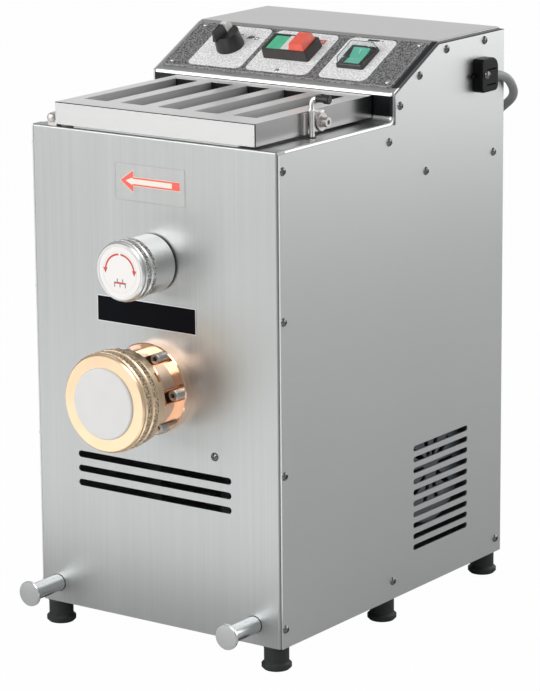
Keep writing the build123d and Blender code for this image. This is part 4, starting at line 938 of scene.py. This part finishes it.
label_red = printed("label_red", (0.86, 0.13, 0.10), 0.4)
cream_print = printed("cream_print", (0.86, 0.80, 0.70), 0.4)
edge_outline = [arrow_outline(0.0004)]
edge_plane = lifted(front_plane, 1.6 * ink)
flat_piece("arrow_edge", edge_outline, edge_plane, ink, cream_print, "casing")
window = [(window_tip, arrow_level)] + window_upper + mirrored(window_upper)
arrow_plane = lifted(front_plane, 2.6 * ink)
flat_piece("arrow", [arrow_outline(0), window], arrow_plane, ink, label_red, "casing")

plate_edges = (0.0695, 0.1745, 0.2617, 0.2846)
plate_corner = 0.0006
plate_thickness = 0.0005
rim_width = 0.0007
face_corner = 0.0004
plate_rim = mottled(
    "plate_rim",
    (0.66, 0.66, 0.66),
    (0.80, 0.80, 0.80),
    patches=0.004,
    roughness=0.3,
    spread=0.1,
    grain=0.001,
    Metallic=1.0,
)
plate_black = mottled(
    "plate_black",
    (0.0012, 0.0014, 0.003),
    (0.003, 0.0035, 0.006),
    patches=0.02,
    roughness=0.5,
    spread=0.12,
    grain=0.0015,
    Specular_IOR_Level=0.06,
)
plate_outline = [rounded_box(*plate_edges, plate_corner)]
flat_piece("name_plate", plate_outline, front_plane, plate_thickness, plate_rim, "casing")
face_outline = [rounded_box(*plate_edges, face_corner, rim_width)]
face_plane = lifted(front_plane, plate_thickness)
flat_piece("name_plate_face", face_outline, face_plane, ink, plate_black, "casing")

# ---- Guard lid, hinge and latch ---------------------------------------------------------------------------
# The guard is folded from bright stainless with five slots to pour flour and water in. Its right side and
# slot walls are painted darker as painted shade, and its slot ends and rolled front edges carry near-black
# painted shade and reflections.
# A bent rod turns over the catch on its side; its black sleeve and cap keep the fingers off the metal.
lid_low, lid_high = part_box("lid_guard")
slots_end = lid_high.y - 0.0155
slot_margin = 0.002
top_margin = 0.0003
front_edge_height = 0.0007
corner_edge_width = 0.0013
lid_steel, shader, place = new_finish("lid_steel", Metallic=1.0)
rolled = cloud(place, (0.0015, 0.03, 0.0015), detail=3.0)
lid_x, lid_y, lid_z = place.axes()
on_top = lid_z > lid_high.z - top_margin
under_top = lid_z < lid_high.z - top_margin
on_side = lid_x > lid_high.x - edge_margin
in_slots = under_top * (lid_y > lid_low.y + slot_margin) * (lid_x < lid_high.x - slot_margin)
# Painted shade darkens the slot walls and the right side, and the slot ends are painted near-black shade.
# Thin bands along the top front edge and the front of the right side are near-black painted reflections of
# the rolled edges.
slot_end_shade = in_slots * (abs(lid_y - slots_end) < top_margin)
front_rim_reflection = (lid_y < lid_low.y + edge_margin) * (lid_z > lid_high.z - front_edge_height)
corner_rim_reflection = on_side * (lid_y < lid_low.y + corner_edge_width)
bright = blended(rolled, (0.88, 0.88, 0.875), (0.98, 0.98, 0.975))
slot_walls_shaded = blended(in_slots, bright, (0.74, 0.74, 0.74))
side_shaded = blended(on_side, slot_walls_shaded, (0.34, 0.34, 0.345))
feed(
    shader,
    Base_Color=blended(slot_end_shade + front_rim_reflection + corner_rim_reflection, side_shaded, (0.03, 0.03, 0.03)),
    Roughness=0.19 + 0.06 * rolled + 0.3 * in_slots + 0.16 * on_top,
)
coat(lid_steel, "lid_guard")
# Sleeve and cap are black plastic. The bushing where the rod enters the deck is made black as painted shade
# in the slot round the rod.
coat(dull_black, "latch_sleeve", "latch_cap", "latch_bushing")
coat(cap_steel, "interlock_block", "hinge_brackets")

# ---- Control panel ----------------------------------------------------------------------------------------
# A hammered plate screwed to the slope, printed dark grey with three pale fields, one round each switch, and
# small marks beside them.
panel_low, panel_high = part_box("control_overlay")
slope = math.atan2(36, 71)
slope_normal = Vector((0, -math.sin(slope), math.cos(slope)))
slope_foot = 0.472
slope_origin = Vector((casing_left, riser_y, slope_foot))
overlay_thickness = 0.0012
overlay_plane = facing_plane(slope_origin + overlay_thickness * slope_normal, slope_normal)


def hammered(name, dark, light, contrast):
    """Sheet with small hammered dents, printed in one colour, lighter in a speckle that follows the dents and
    in fine flecks.
    """
    finish, shader, place = new_finish(name)
    dents = cells(place, 620.0, 1.0)
    flecks = cloud(place, 0.0012, detail=1.0)
    dent_speckle = {0: 0.5 * dents + 0.55 * flecks}
    mask = place.node("ValToRGB", dent_speckle, stops=((0.5 - contrast, 0.0), (0.5 + contrast, 1.0)))
    feed(
        shader,
        Base_Color=blended(mask, dark, light),
        Roughness=0.35 + 0.2 * flecks,
        Normal=raised(dents, depth=0.0004, strength=0.6),
    )
    return finish


dark_field = hammered("dark_field", (0.005, 0.005, 0.006), (0.27, 0.27, 0.275), contrast=0.11)
pale_field = hammered("pale_field", (0.60, 0.60, 0.60), (1.0, 1.0, 1.0), contrast=0.18)
coat(dark_field, "control_overlay")
field_low = 0.0102
field_high = 0.072
field_corner = 0.0065
for index, (start, end) in enumerate(((0.032, 0.090), (0.095, 0.162), (0.173, 0.2232))):
    field = [rounded_box(start, end, field_low, field_high, field_corner)]
    flat_piece(f"panel_field_{index}", field, overlay_plane, ink, pale_field, "casing")

bright_edge = mottled(
    "bright_edge",
    (0.74, 0.74, 0.74),
    (0.90, 0.90, 0.90),
    patches=0.004,
    roughness=0.3,
    spread=0.1,
    grain=0.001,
    Metallic=1.0,
)
panel_edges = (panel_low.x - casing_left, panel_high.x - casing_left, 0.006, 0.075)
panel_corner = 0.0041
border = [rounded_box(*panel_edges, panel_corner - inset, inset) for inset in (0.0007, 0.0013)]
flat_piece("panel_border", border, overlay_plane, ink, bright_edge, "casing")

dark_print = printed("dark_print", (0.045, 0.045, 0.045), 0.45)


def panel_mark(name, across, up, outlines, finish, layer=1):
    """A printed mark on the panel, this far from the casing's left side and up the slope."""
    spot = overlay_plane @ Matrix.Translation((across, up, layer * ink))
    flat_piece(name, outlines, spot, ink, finish, "casing")


def ring(outer, inner):
    """The two outlines of a ring."""
    return [polygon(outer, 36), polygon(inner, 36)]


auger_mark = [rounded_box(-0.0058, 0.0016, -0.0006, 0.0006, 0.0005)]
flight_lean = 0.0008
flight_half = 0.0006
flight_rise = 0.0026
for across in (-0.0046, -0.0026, -0.0006):
    auger_mark.append(
        [
            (across - flight_lean - flight_half, -flight_rise),
            (across - flight_lean + flight_half, -flight_rise),
            (across + flight_lean + flight_half, flight_rise),
            (across + flight_lean - flight_half, flight_rise),
        ]
    )
for index, outline in enumerate(auger_mark):
    layer = 1 + 0.3 * index
    panel_mark(f"mark_screw_{index}", 0.0760, 0.0574, [outline], dark_print, layer)
panel_mark("mark_drum", 0.0806, 0.0562, ring(0.0024, 0.0015), grey_print)
zero_mark = rounded_box(-0.0013, 0.0013, -0.0006, 0.0006, 0.0004)
panel_mark("mark_zero", 0.0625, 0.0600, [zero_mark], dark_print)
stop_mark = rounded_box(-0.0038, 0.0038, -0.003, 0.003, 0.0006)
panel_mark("mark_stop", 0.1485, 0.0605, [stop_mark], label_red)
panel_mark("mark_stop_ring", 0.1490, 0.0605, ring(0.0018, 0.0011), white_print, 2)
power_mark = [(-0.0065, -0.0012), (0.0035, -0.0012), (0.0065, 0.0006), (0.0035, 0.0014), (-0.0065, 0.0014)]
panel_mark("mark_power", 0.1985, 0.0695, [power_mark], dark_print)
panel_mark("mark_power_dot", 0.2075, 0.0694, [polygon(0.0008, 18)], dark_print)

overlay_screw_radius = 0.0026
overlay_screw_height = 0.001
overlay_places = []
for index, (lowest, highest) in enumerate(loose_boxes("overlay_screws")):
    seat = (lowest + highest) / 2
    rise = (seat - slope_origin).dot(slope_normal) - overlay_thickness
    seat_plane = facing_plane(seat - rise * slope_normal, slope_normal)
    overlay_places.append(seat_plane @ Matrix.Rotation(index * screw_turn, 4, "Z"))
overlay_heads = join_pieces(
    "overlay_screw_heads",
    copies(cross_screw("overlay_head", overlay_screw_radius, overlay_screw_height), overlay_places),
    cap_steel,
    "casing",
)
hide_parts("overlay_screws")

# ---- Selector knob ----------------------------------------------------------------------------------------
# A knob moulded in satin black plastic and pushed on the switch's shaft. It has a raised lever to turn it by,
# with a white pointer line let into the lever.
satin_black = mottled(
    "satin_black",
    (0.010, 0.010, 0.011),
    (0.024, 0.024, 0.025),
    patches=0.01,
    roughness=0.3,
    spread=0.1,
    grain=0.0005,
    bumps=(0.00006, 0.25),
)
coat(satin_black, "selector_knob")
coat(white_print, "selector_pointer")

# ---- Start and stop buttons -------------------------------------------------------------------------------
# A dark moulded housing set into the panel, with a flush green start button and a raised red stop button,
# both of polished plastic. A thin white strip lies between them.
housing_black = mottled(
    "housing_black",
    (0.028, 0.023, 0.022),
    (0.050, 0.043, 0.040),
    patches=0.012,
    roughness=0.36,
    spread=0.12,
    grain=0.0006,
)
coat(housing_black, "start_stop_housing", "rocker_bezel")
mould_patches = 0.006
mould_grain = 0.0008
polished = {"Coat_Weight": 0.25, "Coat_Roughness": 0.12}
for name, node, shade, colour in (
    ("green", "start_button", (0.05, 0.42, 0.22), (0.11, 0.60, 0.36)),
    ("red", "stop_button", (0.80, 0.08, 0.05), (0.94, 0.16, 0.10)),
):
    button_plastic = mottled(
        name, shade, colour, patches=mould_patches, roughness=0.3, spread=0.1, grain=mould_grain, **polished
    )
    coat(button_plastic, node)
strip_gap = 0.0003
strip_thickness = 0.0003
housing_height = 0.0095
strip_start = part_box("start_button")[1].x - casing_left + strip_gap
strip_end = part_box("stop_button")[0].x - casing_left - strip_gap
strip = [rounded_box(strip_start, strip_end, 0.0322, 0.0526, 0.0004)]
strip_plane = lifted(overlay_plane, housing_height)
flat_piece("button_strip", strip, strip_plane, strip_thickness, white_print, "casing")

# ---- Rocker switch ----------------------------------------------------------------------------------------
# A green plastic rocker with two white marks, pressed into a black bezel. A soft clear cover over it keeps
# flour and water out.
rocker_up = 0.0415
rocker_from = slope_origin + rocker_up * Vector((0, math.cos(slope), math.sin(slope)))
ring_radius = 0.0021
ring_down = 0.0054
line_up = 0.0056
line_half_length = 0.0024
line_half_width = 0.0003
rocker_green, shader, place = new_finish("rocker_green", **polished)
rocker_x, rocker_y, rocker_z = place.axes()
rocker_across = rocker_x - middle_of("rocker").x
rocker_along = math.cos(slope) * (rocker_y - rocker_from.y) + math.sin(slope) * (rocker_z - rocker_from.z)
ring_along = rocker_along + ring_down
ring_reach = (rocker_across * rocker_across + ring_along * ring_along).maths("SQRT")
ring_mark = abs(ring_reach - ring_radius) < line_half_width
line_mark = (abs(rocker_across) < line_half_width) * (abs(rocker_along - line_up) < line_half_length)
rocker_face = blended(cloud(place, mould_patches), (0.10, 0.52, 0.37), (0.20, 0.70, 0.53))
feed(
    shader,
    Base_Color=blended(ring_mark + line_mark, rocker_face, (0.86, 0.90, 0.88)),
    Roughness=0.3 + 0.1 * cloud(place, mould_grain),
)
coat(rocker_green, "rocker")
clear_cover = mottled(
    "clear_cover",
    (0.90, 0.95, 0.94),
    (0.98, 1.0, 1.0),
    patches=0.005,
    roughness=0.03,
    spread=0.04,
    grain=0.002,
    Transmission_Weight=1.0,
    IOR=1.2,
)
coat(clear_cover, "rocker_cover")

# ---- Gland, mains lead and plug ---------------------------------------------------------------------------
# A black clamp housing on the right side holds a grey 8 mm lead. The lead turns down behind the machine to
# the floor, where the rest of it lies in a coil. The plug lies on its side next to the coil.
gland_black = mottled(
    "gland_black",
    (0.0015, 0.0015, 0.0017),
    (0.005, 0.005, 0.005),
    patches=0.01,
    roughness=0.34,
    spread=0.14,
    grain=0.0006,
    Specular_IOR_Level=0.12,
)
coat(gland_black, "cord_gland")

pin_length = 0.019
plug_low, plug_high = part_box("mains_plug")
plug_middle = middle_of("mains_plug")
plug_rubber, shader, place = new_finish("plug_rubber")
on_pins = place.axes()[0] > plug_high.x - pin_length
rubber_tone = blended(cloud(place, 0.01), (0.010, 0.011, 0.011), (0.026, 0.027, 0.027))
feed(
    shader,
    Base_Color=blended(on_pins, rubber_tone, (0.72, 0.68, 0.60)),
    Metallic=on_pins,
    Roughness=0.5 - 0.25 * on_pins + 0.1 * cloud(place, 0.001),
)
plug = bpy.data.objects.new("lead_plug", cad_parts["mains_plug"].data.copy())
bpy.context.scene.collection.objects.link(plug)
merge_corners(plug)
lying = Matrix.Rotation(math.radians(-3), 4, "Z") @ Matrix.Rotation(math.radians(90), 4, "X")
plug.data.transform(Matrix.Translation(plug_middle) @ lying @ Matrix.Translation(-plug_middle))
bpy.ops.object.shade_smooth_by_angle(angle=smooth_angle)
plug.data.materials.clear()
plug.data.materials.append(plug_rubber)
bpy.ops.object.select_all(action="DESELECT")
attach(plug, "casing")
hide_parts("mains_plug")

cord_diameter = 0.008
route = [
    (0.13, 0.1852, 0.4685),
    (0.13, 0.1962, 0.4665),
    (0.1298, 0.2092, 0.4615),
    (0.129, 0.2182, 0.454),
    (0.127, 0.2247, 0.4465),
    (0.122, 0.2292, 0.44),
    (0.115, 0.2317, 0.4345),
    (0.1065, 0.2327, 0.428),
    (0.099, 0.2332, 0.416),
    (0.0925, 0.2332, 0.396),
    (0.0865, 0.2327, 0.362),
    (0.0825, 0.2322, 0.31),
    (0.0805, 0.2322, 0.2405),
    (0.0785, 0.2332, 0.1735),
    (0.076, 0.2342, 0.1145),
    (0.072, 0.2347, 0.0725),
    (0.065, 0.2357, 0.0425),
    (0.054, 0.2372, 0.0215),
    (0.038, 0.2392, 0.0085),
    (0.018, 0.241, 0.004),
    (-0.004, 0.2421, 0.004),
    (-0.032, 0.2422, 0.004),
]
coil_middle = Vector((-0.040, 0.29035, 0))
coil_radius = 0.044
turn_spacing = 0.0083
outer_turn = coil_radius + turn_spacing / 2
inner_turn = coil_radius - turn_spacing / 2
low_turn = 0.00415
high_turn = low_turn + turn_spacing
laps = [
    (outer_turn, low_turn),
    (inner_turn, low_turn),
    (inner_turn, high_turn),
    (outer_turn, high_turn),
    (outer_turn, high_turn),
    (outer_turn, high_turn),
]
full_laps = 4
lap_steps = 16
change_steps = 4
last_steps = 4
coil = []
for count in range(1, full_laps * lap_steps + last_steps):
    lap, step = divmod(count, lap_steps)
    (radius, level), (next_radius, next_level) = laps[lap : lap + 2]
    angle = math.radians(-90) - 2 * math.pi * step / lap_steps
    share = max(0.0, (step - lap_steps + change_steps) / change_steps)
    reach = radius + (next_radius - radius) * share
    height = level + (next_level - level) * share
    coil.append(coil_middle + Vector((reach * math.cos(angle), reach * math.sin(angle), height)))
plug_level = 0.0185
coil += [
    coil_middle + Vector((-0.0481, 0.006, high_turn)),
    coil_middle + Vector((-0.0470, 0.022, high_turn)),
    coil_middle + Vector((-0.0400, 0.0375, high_turn)),
    coil_middle + Vector((-0.0260, 0.0470, 0.0135)),
    coil_middle + Vector((-0.0080, 0.0492, 0.0165)),
    coil_middle + Vector((0.0080, 0.0492, plug_level)),
    Vector((plug_low.x + 0.004, coil_middle.y + outer_turn + 0.001, plug_level)),
]
cord_curve = bpy.data.curves.new("power_lead", "CURVE")
cord_curve.dimensions = "3D"
cord_curve.bevel_depth = cord_diameter / 2
cord_curve.bevel_resolution = 6
cord_curve.use_fill_caps = True
cord_curve.resolution_u = 12
spline = cord_curve.splines.new("NURBS")
spline.points.add(len(route) + len(coil) - 1)
for point, spot in zip(spline.points, route + coil):
    point.co = (*spot, 1)
spline.order_u = 3
spline.use_endpoint_u = True
cord_sheath = mottled(
    "cord_sheath",
    (0.21, 0.215, 0.22),
    (0.33, 0.335, 0.34),
    patches=0.012,
    roughness=0.38,
    spread=0.14,
    patch_detail=3.0,
    grain=0.001,
)
cord_curve.materials.append(cord_sheath)
lead = bpy.data.objects.new("power_lead", cord_curve)
bpy.context.scene.collection.objects.link(lead)
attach(lead, "casing")
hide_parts("power_cord", "cord_coil")
